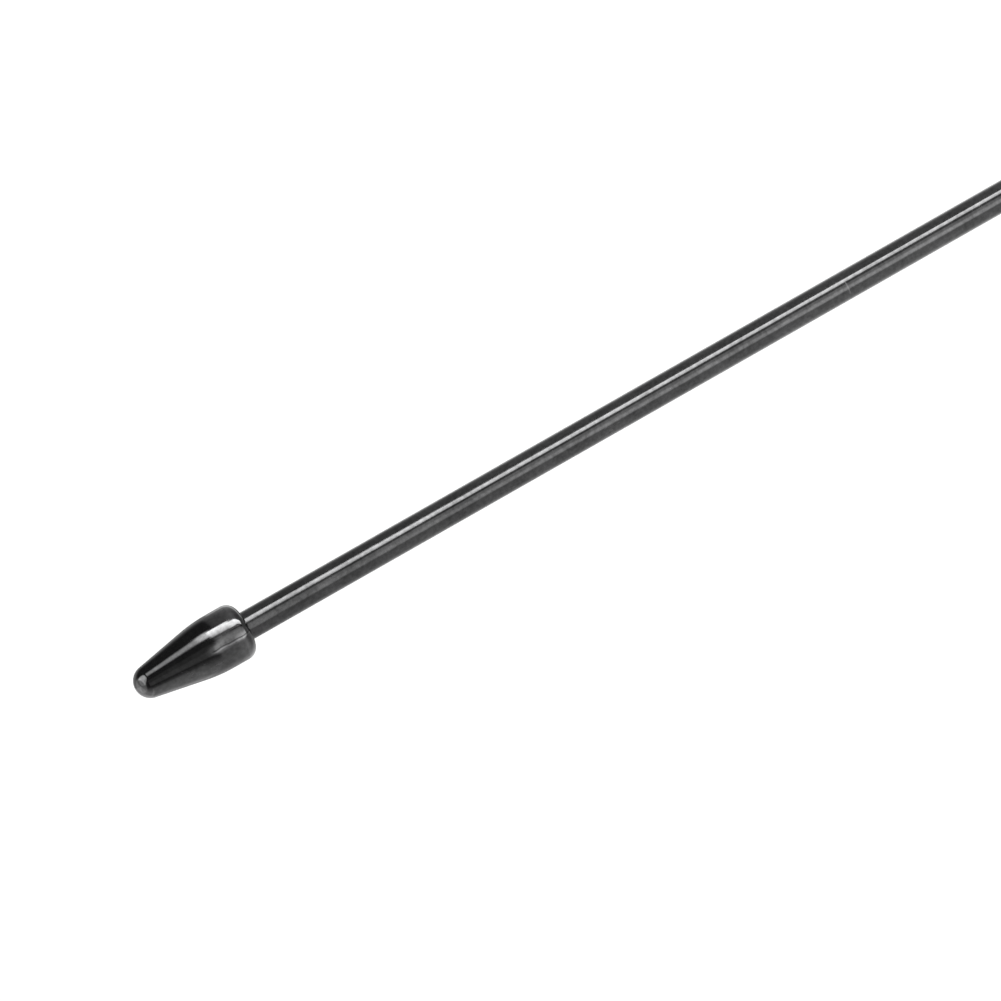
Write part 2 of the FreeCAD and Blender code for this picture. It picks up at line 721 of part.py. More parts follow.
def friction_washers():
    """One thin washer on the inner face of each ear."""
    hole = "screw_dia / 2 + slip_fit"
    rim = "washer_dia / 2"
    pair = []
    for side, sign in (("left", ""), ("right", "-")):
        pair.append(turned(f"{side}_friction_washer", [
            (hole, f"{sign}(slot_half - washer_thickness)"),
            (rim, f"{sign}(slot_half - washer_thickness)"),
            (rim, f"{sign}slot_half"),
            (hole, f"{sign}slot_half"),
        ], "hinge_height", "Y"))
    return grouped("friction_washers", pair)


def whip_ferrule():
    """Stepped socket of the whip with the hinge's tongue. The tongue's foot is round on the side
    it folds to and square on the other, where its corner stops the whip upright."""
    half = "knuckle_width / 2"
    top = "shoulder + ferrule_length"
    body = turned("whip_ferrule", [
        ("0", f"-{half}"),
        ("ferrule_dia / 2", f"-{half}"),
        ("ferrule_dia / 2", "shoulder + ferrule_straight"),
        ("barrel_dia / 2", "shoulder + ferrule_straight + ferrule_slope"),
        ("barrel_dia / 2", top),
        ("rod_dia / 2 + slip_fit", top),
        ("rod_dia / 2 + slip_fit", f"{top} - whip_socket_depth"),
        ("0", f"{top} - whip_socket_depth"),
    ], "hinge_height")
    chamfered(body, "barrel_bevel", ("barrel_dia / 2", top))
    flats = new_sketch(body, "tongue_flats", "YZ_Plane")
    for sign in ("", "-"):
        draw_loop(flats, [
            (f"{sign}tongue_thickness / 2", f"-{OUTSIDE}"),
            (f"{sign}{OUTSIDE}", f"-{OUTSIDE}"),
            (f"{sign}{OUTSIDE}", "shoulder"),
            (f"{sign}tongue_thickness / 2", "shoulder"),
        ])
    milled(body, flats)
    foot = new_sketch(body, "tongue_foot", "XZ_Plane")
    draw_loop(foot, [
        ("0", f"-{half}", half),
        (half, "0"),
        (OUTSIDE, "0"),
        (OUTSIDE, f"-{OUTSIDE}"),
        ("0", f"-{OUTSIDE}"),
    ])
    draw_loop(foot, [
        (f"edge_break - {half}", f"-{half}"),
        (f"-{half}", f"edge_break - {half}"),
        (f"-{OUTSIDE}", f"edge_break - {half}"),
        (f"-{OUTSIDE}", f"-{half}"),
    ])
    milled(body, foot)
    bored(body, "tongue_screw_hole", [
        ("0", f"-{OUTSIDE}"),
        ("screw_dia / 2 + turning_fit", f"-{OUTSIDE}"),
        ("screw_dia / 2 + turning_fit", OUTSIDE),
        ("0", OUTSIDE),
    ])
    grubs = new_sketch(body, "grub_holes", "YZ_Plane")
    for level in grub_levels():
        draw_circle(grubs, "0", f"{level} - hinge_height", "grub_dia / 2 + slip_fit")
    milled(body, grubs, side="back")
    return body


def grub_levels():
    """Heights of the two grub screws."""
    return "ferrule_top - grub_height", "ferrule_top - grub_height - grub_spacing"


def whip_grub_screws():
    """Two socket set screws that bear on the rod from the -X side."""
    pair = []
    for place, level in zip(("upper", "lower"), grub_levels()):
        bar = turned(f"{place}_grub_screw", [
            ("0", "-rod_dia / 2"),
            ("grub_dia / 2", "-rod_dia / 2"),
            ("grub_dia / 2", "-rod_dia / 2 - grub_length"),
            ("0", "-rod_dia / 2 - grub_length"),
        ], level, "X")
        key = new_sketch(bar, f"{place}_grub_key", "YZ_Plane", "-rod_dia / 2 - grub_length")
        draw_hexagon(key, "grub_key_width")
        milled(bar, key, "grub_key_depth", "front")
        pair.append(bar)
    return grouped("whip_grub_screws", pair)


def whip_rod():
    """Straight rod, its ends chamfered inside ferrule and cap."""
    body = turned("whip_rod", [
        ("0", "0"),
        ("rod_dia / 2", "0"),
        ("rod_dia / 2", "rod_length"),
        ("0", "rod_length"),
    ], "rod_foot")
    chamfered(body, "rod_chamfer", ("rod_dia / 2", "0"), ("rod_dia / 2", "rod_length"))
    return body


def tip_cap():
    """Bullet cap. A large arc leads the straight stretch into a slender cone, tangent at both ends,
    and the cone runs tangent into the ball nose."""
    flank_across = "cap_blend_radius * cos(cap_cone_angle) - cap_half_width"
    flank_up = "cap_band + cap_blend_radius * sin(cap_cone_angle)"
    nose_across = "cap_nose_radius * cos(cap_cone_angle)"
    nose_up = "nose_centre + cap_nose_radius * sin(cap_cone_angle)"
    return turned("tip_cap", [
        ("rod_dia / 2 + slip_fit", "0"),
        ("cap_dia / 2 - cap_rear_round", "0", "cap_rear_round"),
        ("cap_dia / 2", "cap_rear_round"),
        ("cap_dia / 2", "cap_band", "cap_blend_radius"),
        (flank_across, flank_up),
        (nose_across, nose_up, "cap_nose_radius"),
        ("0", "cap_length"),
        ("0", "cap_socket_depth"),
        ("rod_dia / 2 + slip_fit", "cap_socket_depth"),
    ], "cap_foot")


def make_parts():
    """Every sub-part of the antenna, from the plug up to the tip."""
    spigot = "collar_spigot_dia / 2 + slip_fit"
    stud = "stud_dia / 2 + slip_fit"
    return [
        plug_body(),
        plug_insulator(),
        centre_pin(),
        coupling_ring(),
        base_collar(),
        washer("base_gasket", spigot, "collar_dia / 2", "base_gasket_thickness", "collar_seat"),
        coil_housing(),
        threaded_insert(),
        coil_former(),
        loading_coil(),
        matching_capacitor(),
        washer("fork_gasket", stud, "fork_gasket_dia / 2", "fork_gasket_thickness", "housing_top"),
        hinge_fork(),
        hinge_screw(),
        hinge_nut(),
        spring_washer(),
        friction_washers(),
        whip_ferrule(),
        whip_grub_screws(),
        whip_rod(),
        tip_cap(),
    ]


def check_document(parts):
    """Stop if anything failed to build or is not a sound solid."""
    for item in document.Objects:
        if "Invalid" in item.State or "Error" in item.State:
            raise RuntimeError(f"{item.Name} failed: {item.State}")
    for part in parts:
        if part.Shape.isNull() or not part.Shape.isValid() or not part.Shape.Solids:
            raise RuntimeError(f"{part.Label} is not a sound solid")


def main():
    """Build the antenna and write each sub-part to its own file."""
    add_sheets()
    parts = make_parts()
    document.recompute()
    check_document(parts)
    os.makedirs("parts", exist_ok=True)
    for part in parts:
        part.Shape.exportStep(f"parts/{part.Label}.step")
        box = part.Shape.BoundBox
        print(f"{part.Label}: {len(part.Shape.Solids)} solid(s), {part.Shape.Volume:.1f} mm3,"
              f" z {box.ZMin:.2f} to {box.ZMax:.2f}")


main()
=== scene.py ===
"""Looks of a mobile whip antenna: a slim rod of black chrome with a bullet cap on its tip, carried
by a fold-over hinge, a loaded base and a knurled coaxial plug.

Sizes are in millimetres. Meshes are written in metres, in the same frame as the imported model:
+Z runs up the whip, the hinge pin lies along Y and the whip folds towards +X.
"""

import json
import logging
import math
from dataclasses import dataclass, replace
from enum import Enum
from functools import lru_cache
from typing import Callable, Iterable, Optional, Sequence

import bmesh
import bpy
import numpy as np
from mathutils import Matrix, Vector

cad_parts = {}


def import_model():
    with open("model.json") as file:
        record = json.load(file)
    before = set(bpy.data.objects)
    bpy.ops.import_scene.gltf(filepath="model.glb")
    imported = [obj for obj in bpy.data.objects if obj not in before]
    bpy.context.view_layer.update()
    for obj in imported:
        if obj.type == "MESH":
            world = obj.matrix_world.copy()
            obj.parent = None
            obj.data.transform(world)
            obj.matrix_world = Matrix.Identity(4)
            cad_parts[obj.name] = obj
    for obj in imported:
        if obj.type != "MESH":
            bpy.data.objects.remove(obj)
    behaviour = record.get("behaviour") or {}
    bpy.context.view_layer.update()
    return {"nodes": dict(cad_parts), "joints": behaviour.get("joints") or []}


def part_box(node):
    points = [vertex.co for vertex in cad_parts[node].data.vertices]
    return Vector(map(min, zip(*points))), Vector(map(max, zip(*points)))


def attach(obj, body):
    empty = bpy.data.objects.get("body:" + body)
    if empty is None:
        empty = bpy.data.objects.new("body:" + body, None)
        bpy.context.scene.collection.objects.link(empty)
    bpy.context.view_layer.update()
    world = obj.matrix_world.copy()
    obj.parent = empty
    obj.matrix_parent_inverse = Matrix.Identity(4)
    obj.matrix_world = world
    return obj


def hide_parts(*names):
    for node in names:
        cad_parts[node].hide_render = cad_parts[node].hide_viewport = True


log = logging.getLogger("whip_antenna")

MM = 0.001
TURN = 2 * math.pi
COLUMNS = 192
ARC_STEPS = 7
GUARD = 0.03
SHARP_ANGLE = math.radians(32)
TOUCHING = 2e-7
TINY = 1e-6  # keeps a division from zero

Reshape = Callable[[np.ndarray, np.ndarray, np.ndarray], tuple[np.ndarray, np.ndarray]]
Colour = tuple[float, float, float]


class Body(Enum):
    """The moving bodies that pieces ride on."""

    BASE = "base"
    RING = "ring"
    WHIP = "whip"


class Axis(Enum):
    """What a turned piece is turned about. The value gives, for the directions X, Y and Z, which
    of (across, aside, along) each one takes."""

    X = (2, 0, 1)
    Y = (0, 2, 1)
    Z = (0, 1, 2)


@dataclass(frozen=True)
class Corner:
    """A corner of a turned outline.

    Args:
        out: distance from the axis, or half the width across flats where hexagon is 1, or the
            distance outside the plate's own edge where plate is 1.
        up: distance along the axis.
        round: radius of the corner's rounding.
        hexagon: 1 where the section is a hexagon.
        plate: 1 where the section follows the edge of a plate.
        bar: 1 where the face follows the round bar that the piece is milled from.
    """

    out: float
    up: float
    round: float = 0.0
    hexagon: float = 0.0
    plate: float = 0.0
    bar: float = 0.0

    def row(self) -> np.ndarray:
        """The corner as a row of numbers."""
        return np.array([self.out, self.up, self.hexagon, self.plate, self.bar])


@dataclass(frozen=True)
class Sheet:
    """A closed surface on a grid.

    Args:
        points: array of rows by columns by three, in millimetres. The last column joins the first.
        ring: whether the last row joins the first. Otherwise both end in a pole.
    """

    points: np.ndarray
    ring: bool


@dataclass(frozen=True)
class Extent:
    """How far a node of the frame reaches.

    Args:
        foot: its lowest height.
        top: its highest height.
        radius: its reach from the antenna's axis towards +X.
    """

    foot: float
    top: float
    radius: float

    @classmethod
    def of(cls, node: str) -> "Extent":
        """The extent of a node, in millimetres."""
        low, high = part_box(node)
        return cls(low.z / MM, high.z / MM, high.x / MM)


def corner_arc(before: Corner, here: Corner, after: Corner) -> np.ndarray:
    """Rows of a rounded corner.

    The arc is tangent to both runs, so its centre lies on the line that halves the corner, at
    radius / sin(half angle). The spokes from the centre are spaced evenly between the two tangent
    points by spherical interpolation. One more row stands beside each end of the arc.

    Args:
        before: the corner before this one.
        here: the corner to round.
        after: the corner after it.

    Returns:
        The rows, in the order of the outline.
    """
    spot = here.row()[:2]
    level = np.array([1 - 2 * here.plate, 0.0])
    back = before.row()[:2] - spot if before.plate == here.plate else level
    onward = after.row()[:2] - spot if after.plate == here.plate else level
    back = back / np.linalg.norm(back)
    onward = onward / np.linalg.norm(onward)
    half = math.acos(float(np.clip(back @ onward, -1, 1))) / 2
    middle = (back + onward) / np.linalg.norm(back + onward)
    centre = spot + middle * here.round / math.sin(half)
    reach = here.round / math.tan(half)
    first = (spot + back * reach - centre) / here.round
    last = (spot + onward * reach - centre) / here.round
    sweep = math.acos(float(np.clip(first @ last, -1, 1)))
    share = np.linspace(0, 1, ARC_STEPS + 1)[:, None]
    spokes = (np.sin((1 - share) * sweep) * first + np.sin(share * sweep) * last) / math.sin(sweep)
    places = np.vstack([
        spot + back * (reach + GUARD),
        centre + here.round * spokes,
        spot + onward * (reach + GUARD),
    ])
    return np.hstack([places, np.tile(here.row()[2:], (len(places), 1))])


def rounded(corners: Sequence[Corner], ring: bool) -> np.ndarray:
    """Rows of an outline with its corners rounded.

    Args:
        corners: the corners in order.
        ring: whether the outline closes on itself.

    Returns:
        One row of (out, up, hexagon, plate, bar) for each ring of the surface.
    """
    rows = []
    for index, corner in enumerate(corners):
        at_end = not ring and index in (0, len(corners) - 1)
        if at_end or corner.round == 0:
            rows.append(corner.row()[None])
        else:
            after = corners[(index + 1) % len(corners)]
            rows.append(corner_arc(corners[index - 1], corner, after))
    return np.vstack(rows)


def divided(rows: np.ndarray, step: float, ring: bool) -> np.ndarray:
    """Rows with more rows between them, evenly spaced, so that no run is longer than a step.

    Args:
        rows: the outline.
        step: the longest run.
        ring: whether the last row is joined to the first.

    Returns:
        The denser outline.
    """
    following = np.roll(rows, -1, axis=0)
    runs = np.linalg.norm((following - rows)[:, :2], axis=1)
    counts = np.maximum(np.ceil(runs / step).astype(int), 1)
    if not ring:
        counts[-1] = 1
    start = np.repeat(np.arange(len(rows)), counts)
    share = (np.arange(len(start)) - np.repeat(np.cumsum(counts) - counts, counts)) / counts[start]
    return rows[start] + share[:, None] * (following[start] - rows[start])


def hexagon_factor(angle: np.ndarray) -> np.ndarray:
    """How much further out than its flats a hexagon's edge lies: 1 / cos of the angle from the
    nearest flat's middle."""
    sixth = TURN / 6
    return 1 / np.cos((angle + sixth / 2) % sixth - sixth / 2)


def turned(rows: np.ndarray, ring: bool, axis: Axis = Axis.Z, centre: float = 0.0,
           angles: Optional[np.ndarray] = None, reshape: Optional[Reshape] = None,
           edge: Optional[np.ndarray] = None, bar_radius: float = 0.0) -> Sheet:
    """A surface turned about an axis: a point is (out cos a, out sin a, up).

    Where a row's section is a hexagon, out is multiplied by the hexagon's factor. Where it is a
    plate, the plate's edge at that angle is added to out. Where it follows a bar, up is lowered
    by the bar's fall, radius - sqrt(radius^2 - across^2).

    Args:
        rows: the outline, as rounded gives it.
        ring: whether the outline closes on itself.
        axis: the axis of turning.
        centre: height of the axis for X and Y, or of the outline's zero for Z.
        angles: the columns' angles, evenly spaced if left out.
        reshape: changes (out, up) at each (out, up, angle) of the grid.
        edge: distance of the plate's edge from the axis at each angle.
        bar_radius: radius of the bar.

    Returns:
        The surface.
    """
    if angles is None:
        angles = np.arange(COLUMNS) * TURN / COLUMNS
    out, up, hexagon, plate, bar = (column[:, None] for column in rows.T)
    out = out * (1 + hexagon * (hexagon_factor(angles)[None] - 1))
    if edge is not None:
        out = out + plate * edge[None]
    up = up + np.zeros_like(out)
    across = out * np.cos(angles)
    if bar_radius:
        up = up - bar * (bar_radius - np.sqrt(np.maximum(bar_radius ** 2 - across ** 2, 0)))
    if reshape is not None:
        out, up = reshape(out, up, angles[None] + np.zeros_like(out))
    local = np.stack([out * np.cos(angles), out * np.sin(angles), up], axis=2)
    points = local[:, :, list(axis.value)]
    points[:, :, 2] += centre
    return Sheet(points, ring)


def tube(route: np.ndarray, radius: float, columns: int = 24) -> Sheet:
    """A round wire along a route, its ends domed to a pole.

    A point is route + radius (side cos a + lift sin a), where side lies level and square to the
    route and lift is square to both. The two end rows shrink to the route's ends.

    Args:
        route: array of points by three.
        radius: the wire's radius.
        columns: points round the wire.

    Returns:
        The surface.
    """
    along = np.gradient(route, axis=0)
    along /= np.linalg.norm(along, axis=1, keepdims=True)
    side = np.cross(along, [0.0, 0.0, 1.0])
    side /= np.linalg.norm(side, axis=1, keepdims=True)
    lift = np.cross(side, along)
    angles = np.arange(columns)[None, :, None] * TURN / columns
    section = side[:, None] * np.cos(angles) + lift[:, None] * np.sin(angles)
    middles = np.vstack([route[:1], route, route[-1:]])
    sections = np.concatenate([section[:1], section, section[-1:]])
    reach = np.full((len(middles), 1, 1), radius)
    reach[[0, -1]] = 0
    return Sheet(middles[:, None] + sections * reach, False)


def faces_of(sheet: Sheet) -> np.ndarray:
    """The quads of a sheet as indices of its points, turned so that they face outwards.

    The volume that the quads enclose is the sum of a . (b x c) / 6 over their triangles. Where it
    comes out below zero, each quad is turned round.
    """
    rows, columns = sheet.points.shape[:2]
    index = np.arange(rows * columns).reshape(rows, columns)
    upper = np.roll(index, -1, axis=0) if sheet.ring else index[1:]
    lower = index if sheet.ring else index[:-1]
    quads = np.stack([lower, np.roll(lower, -1, axis=1), np.roll(upper, -1, axis=1), upper], axis=2)
    quads = quads.reshape(-1, 4)
    spots = sheet.points.reshape(-1, 3)[quads]
    spots = spots - spots.mean(axis=(0, 1))
    volume = sum(np.einsum("ij,ij->i", spots[:, 0], np.cross(spots[:, k], spots[:, k + 1])).sum()
                 for k in (1, 2))
    return quads if volume > 0 else quads[:, ::-1]


def skinned(name: str, sheets: Iterable[Sheet]) -> bpy.types.Object:
    """One object from closed sheets, its poles merged and its crisp edges marked.

    Args:
        name: the piece's name.
        sheets: the surfaces that make it up.

    Returns:
        The object, at the origin.
    """
    spots, faces, start = [], [], 0
    for sheet in sheets:
        spots.append(sheet.points.reshape(-1, 3) * MM)
        faces.append(faces_of(sheet) + start)
        start += len(spots[-1])
    mesh = bpy.data.meshes.new(name)
    mesh.from_pydata(np.vstack(spots), [], np.vstack(faces))
    merged(mesh)
    piece = bpy.data.objects.new(name, mesh)
    bpy.context.scene.collection.objects.link(piece)
    return piece


def merged(mesh: bpy.types.Mesh) -> None:
    """Merge a mesh's coinciding points, drop what has no area and mark its crisp edges."""
    work = bmesh.new()
    work.from_mesh(mesh)
    bmesh.ops.remove_doubles(work, verts=work.verts, dist=TOUCHING)
    bmesh.ops.dissolve_degenerate(work, edges=work.edges, dist=TOUCHING)
    work.to_mesh(mesh)
    work.free()
    mesh.shade_smooth()
    mesh.set_sharp_from_angle(angle=SHARP_ANGLE)


def drilled(piece: bpy.types.Object, cutters: Sequence[Sheet]) -> None:
    """Take closed sheets away from a piece for good.

    Args:
        piece: the piece to cut.
        cutters: the shapes to take away.
    """
    for number, cutter in enumerate(cutters):
        tool = skinned(f"{piece.name}_cutter_{number}", [cutter])
        cut = piece.modifiers.new("drill", "BOOLEAN")
        cut.operation = "DIFFERENCE"
        cut.solver = "EXACT"
        cut.object = tool
        bpy.context.view_layer.update()
        finished = bpy.data.meshes.new_from_object(piece.evaluated_get(
            bpy.context.evaluated_depsgraph_get()))
        piece.modifiers.remove(cut)
        piece.data = finished
        bpy.data.objects.remove(tool)
    merged(piece.data)


class Graph:
    """A node tree with short calls for adding and joining its nodes."""

    def __init__(self, tree: bpy.types.NodeTree) -> None:
        """Take up a tree."""
        self.tree = tree

    def add(self, kind: str, feeds: Optional[dict] = None, **settings: object) -> bpy.types.Node:
        """Add a node.

        Args:
            kind: the node's type.
            feeds: value or socket for each input, by name or number.
            settings: the node's own settings.

        Returns:
            The node.
        """
        node = self.tree.nodes.new(kind)
        for setting, value in settings.items():
            setattr(node, setting, value)
        for key, value in (feeds or {}).items():
            if isinstance(value, bpy.types.NodeSocket):
                self.tree.links.new(value, node.inputs[key])
            else:
                node.inputs[key].default_value = value
        return node

    def math(self, operation: str, *values: object) -> bpy.types.NodeSocket:
        """The result of a sum on values and sockets."""
        return self.add("ShaderNodeMath", dict(enumerate(values)), operation=operation).outputs[0]

    def ramp(self, value: object, start: float, end: float, low: float = 0.0,
             high: float = 1.0) -> bpy.types.NodeSocket:
        """A smooth step of a value.

        Args:
            value: the socket to read.
            start: where the step begins.
            end: where it ends.
            low: result before the step.
            high: result after it.

        Returns:
            The stepped value.
        """
        feeds = {"Value": value, "From Min": start, "From Max": end, "To Min": low, "To Max": high}
        return self.add("ShaderNodeMapRange", feeds, interpolation_type="SMOOTHSTEP").outputs[0]

    def band(self, value: object, middle: object, half: float, soft: float) -> bpy.types.NodeSocket:
        """1 where a value is within half of a middle, falling to 0 over a soft edge."""
        away = self.math("ABSOLUTE", self.math("SUBTRACT", value, middle))
        return self.ramp(away, half, half + soft, 1.0, 0.0)

    def scaled(self, vector: object, factors: Colour) -> bpy.types.NodeSocket:
        """A vector with each of its parts multiplied."""
        return self.add("ShaderNodeVectorMath", {0: vector, 1: factors},
                        operation="MULTIPLY").outputs[0]


class Effect(Enum):
    """The surface effects that finishes share."""

    HANDLING = "handling"
    DRAWING = "drawing_lines"
    TURNING = "turning_marks"
    GRAIN = "moulded_grain"


def new_effect(name: str, inputs: dict[str, float], outputs: Sequence[str]
               ) -> tuple[Graph, bpy.types.Node, bpy.types.Node]:
    """An empty effect group.

    Args:
        name: the group's name.
        inputs: its number inputs and their usual values, beside the vector that it always has.
        outputs: its number outputs.

    Returns:
        The group's graph, its input node and its output node.
    """
    tree = bpy.data.node_groups.new(name, "ShaderNodeTree")
    tree.interface.new_socket("Vector", in_out="INPUT", socket_type="NodeSocketVector")
    for label, usual in inputs.items():
        socket = tree.interface.new_socket(label, in_out="INPUT", socket_type="NodeSocketFloat")
        socket.default_value = usual
    for label in outputs:
        tree.interface.new_socket(label, in_out="OUTPUT", socket_type="NodeSocketFloat")
    graph = Graph(tree)
    return graph, graph.add("NodeGroupInput"), graph.add("NodeGroupOutput")


def handling_effect() -> bpy.types.NodeTree:
    """Wear from handling: cloudy smears that vary the gloss, and fine scratches along Z.

    A scratch is a thin band of a noise field that is stretched along Z, kept only where a second,
    coarser noise is high.
    """
    graph, given, result = new_effect("handling", {"Size": 1.0}, ("Smear", "Scratch"))
    spot = graph.add("ShaderNodeVectorMath", {0: given.outputs["Vector"],
                                              "Scale": given.outputs["Size"]},
                     operation="SCALE").outputs[0]
    cloud = graph.add("ShaderNodeTexNoise", {"Vector": spot, "Scale": 0.35, "Detail": 4.0})
    field = graph.add("ShaderNodeTexNoise", {"Vector": graph.scaled(spot, (1.0, 1.0, 0.07)),
                                             "Scale": 1.1, "Detail": 2.0})
    where = graph.add("ShaderNodeTexNoise", {"Vector": graph.scaled(spot, (1.0, 1.0, 0.5)),
                                             "Scale": 0.7, "Detail": 1.0})
    thin, blur = 0.0008, 0.0012
    line = graph.band(field.outputs[0], 0.5, thin, blur)
    kept = graph.ramp(where.outputs[0], 0.6, 0.66)
    graph.tree.links.new(graph.ramp(cloud.outputs[0], 0.35, 0.7), result.inputs["Smear"])
    graph.tree.links.new(graph.math("MULTIPLY", line, kept), result.inputs["Scratch"])
    return graph.tree


def drawing_effect() -> bpy.types.NodeTree:
    """Fine lines along Z, as a polished drawn rod keeps: noise stretched hard along the rod."""
    graph, given, result = new_effect("drawing_lines", {"Density": 9.0}, ("Height",))
    stretched = graph.scaled(given.outputs["Vector"], (1.0, 1.0, 0.012))
    lines = graph.add("ShaderNodeTexNoise", {"Vector": stretched, "Scale": given.outputs["Density"],
                                             "Detail": 3.0, "Roughness": 0.6})
    graph.tree.links.new(lines.outputs[0], result.inputs["Height"])
    return graph.tree


def turning_effect() -> bpy.types.NodeTree:
    """Feed marks of a lathe: rings whose spacing is the pitch, uneven by a noise along Z."""
    graph, given, result = new_effect("turning_marks", {"Per Length": 7.0}, ("Height", "Shade"))
    parts = graph.add("ShaderNodeSeparateXYZ", {0: given.outputs["Vector"]}).outputs
    flat = graph.math("SQRT", graph.math("ADD", graph.math("POWER", parts["X"], 2.0),
                                         graph.math("POWER", parts["Y"], 2.0)))
    place = graph.math("ADD", parts["Z"], flat)
    turns = graph.math("MULTIPLY", place, given.outputs["Per Length"])
    wave = graph.math("SINE", graph.math("MULTIPLY", turns, TURN))
    rough = graph.add("ShaderNodeTexNoise", {"W": turns, "Scale": 1.7, "Detail": 3.0},
                      noise_dimensions="1D")
    height = graph.math("MULTIPLY_ADD", wave, 0.25, rough.outputs[0])
    graph.tree.links.new(height, result.inputs["Height"])
    graph.tree.links.new(graph.ramp(rough.outputs[0], 0.3, 0.7), result.inputs["Shade"])
    return graph.tree


def grain_effect() -> bpy.types.NodeTree:
    """The fine even grain of a moulding, with a slow mottle."""
    graph, given, result = new_effect("moulded_grain", {"Density": 4.0}, ("Height", "Mottle"))
    grain = graph.add("ShaderNodeTexNoise", {"Vector": given.outputs["Vector"], "Detail": 3.0,
                                             "Scale": given.outputs["Density"], "Roughness": 0.6})
    mottle = graph.add("ShaderNodeTexNoise", {"Vector": given.outputs["Vector"], "Scale": 0.25,
                                              "Detail": 3.0})
    graph.tree.links.new(grain.outputs[0], result.inputs["Height"])
    graph.tree.links.new(mottle.outputs[0], result.inputs["Mottle"])
    return graph.tree


@lru_cache(maxsize=None)
def effect_tree(effect: Effect) -> bpy.types.NodeTree:
    """The node group of an effect, built once."""
    makers = {Effect.HANDLING: handling_effect, Effect.DRAWING: drawing_effect,
              Effect.TURNING: turning_effect, Effect.GRAIN: grain_effect}
    return makers[effect]()


class Coat:
    """A material in the making: its Principled shader, and the piece's own millimetres."""

    def __init__(self, name: str, roughness: float, metallic: float) -> None:
        """Start a material whose roughness and metallic are the same all over, unless fed."""
        self.material = bpy.data.materials.new(name)
        self.material.use_nodes = True
        self.material.node_tree.nodes.clear()
        self.graph = Graph(self.material.node_tree)
        self.shader = self.graph.add("ShaderNodeBsdfPrincipled",
                                     {"Roughness": roughness, "Metallic": metallic})
        self.graph.add("ShaderNodeOutputMaterial", {"Surface": self.shader.outputs[0]})
        place = self.graph.add("ShaderNodeTexCoord").outputs["Object"]
        self.place = self.graph.scaled(place, (1 / MM, 1 / MM, 1 / MM))

    def effect(self, effect: Effect, **values: float) -> bpy.types.Node:
        """Place a shared effect on the piece's own millimetres."""
        feeds = {label.replace("_", " ").title(): value for label, value in values.items()}
        return self.graph.add("ShaderNodeGroup", {"Vector": self.place, **feeds},
                              node_tree=effect_tree(effect))

    def colour(self, mask: object, low: Colour, high: Colour) -> bpy.types.NodeSocket:
        """Colour that runs from low to high with a mask."""
        return self.stained((*low, 1.0), mask, high)

    def stained(self, ground: object, share: object, stain: Colour) -> bpy.types.NodeSocket:
        """A colour run towards a stain where a mask says."""
        mix = self.graph.add("ShaderNodeMix", {"Factor": share, "A": ground, "B": (*stain, 1.0)},
                             data_type="RGBA")
        return mix.outputs["Result"]

    def feed(self, socket: str, value: bpy.types.NodeSocket) -> None:
        """Feed one of the shader's sockets."""
        self.graph.tree.links.new(value, self.shader.inputs[socket])

    def bump(self, height: object, depth: float, under: Optional[object] = None) -> object:
        """Raise the surface by a height field.

        Args:
            height: the field, from 0 to 1.
            depth: how high 1 is, in millimetres.
            under: the normal that it is laid over.

        Returns:
            The new normal.
        """
        feeds = {"Height": height, "Distance": depth * MM, "Strength": 1.0}
        if under is not None:
            feeds["Normal"] = under
        normal = self.graph.add("ShaderNodeBump", feeds).outputs[0]
        self.feed("Normal", normal)
        return normal


def lighter(colour: Colour, factor: float) -> Colour:
    """A colour multiplied by a factor."""
    return tuple(min(part * factor, 1.0) for part in colour)


@dataclass(frozen=True)
class Finish:
    """A finish.

    Args:
        slot: the record's material slot.
        tint: its colour.
        gloss: its roughness.
    """

    slot: str
    tint: Colour
    gloss: float

    def material(self) -> bpy.types.Material:
        """The material of this finish."""
        raise NotImplementedError


@dataclass(frozen=True)
class PaintedReflectionLine:
    """A painted reflection along a turned piece: a dark line of painted shade, with a thin painted
    highlight beside it.

    Args:
        around: its angle from -Y towards +X, in radians.
        sway: how far it wanders to either side, in radians.
        foot: height where it starts.
        top: height where it ends.
        dark: share of the tint that the painted shade of the line takes away.
        lip: share of the tint that a thin painted highlight on its -X side adds.
        width: half its width and its blur, in radians.
        lip_width: half the painted highlight's width and its blur, in radians.
        lip_gap: angle between the middles of the painted dark line and its painted highlight.
    """

    around: float
    sway: float
    foot: float
    top: float
    dark: float
    lip: float = 0.0
    width: tuple[float, float] = (0.008, 0.022)
    lip_width: tuple[float, float] = (0.005, 0.03)
    lip_gap: float = 0.06


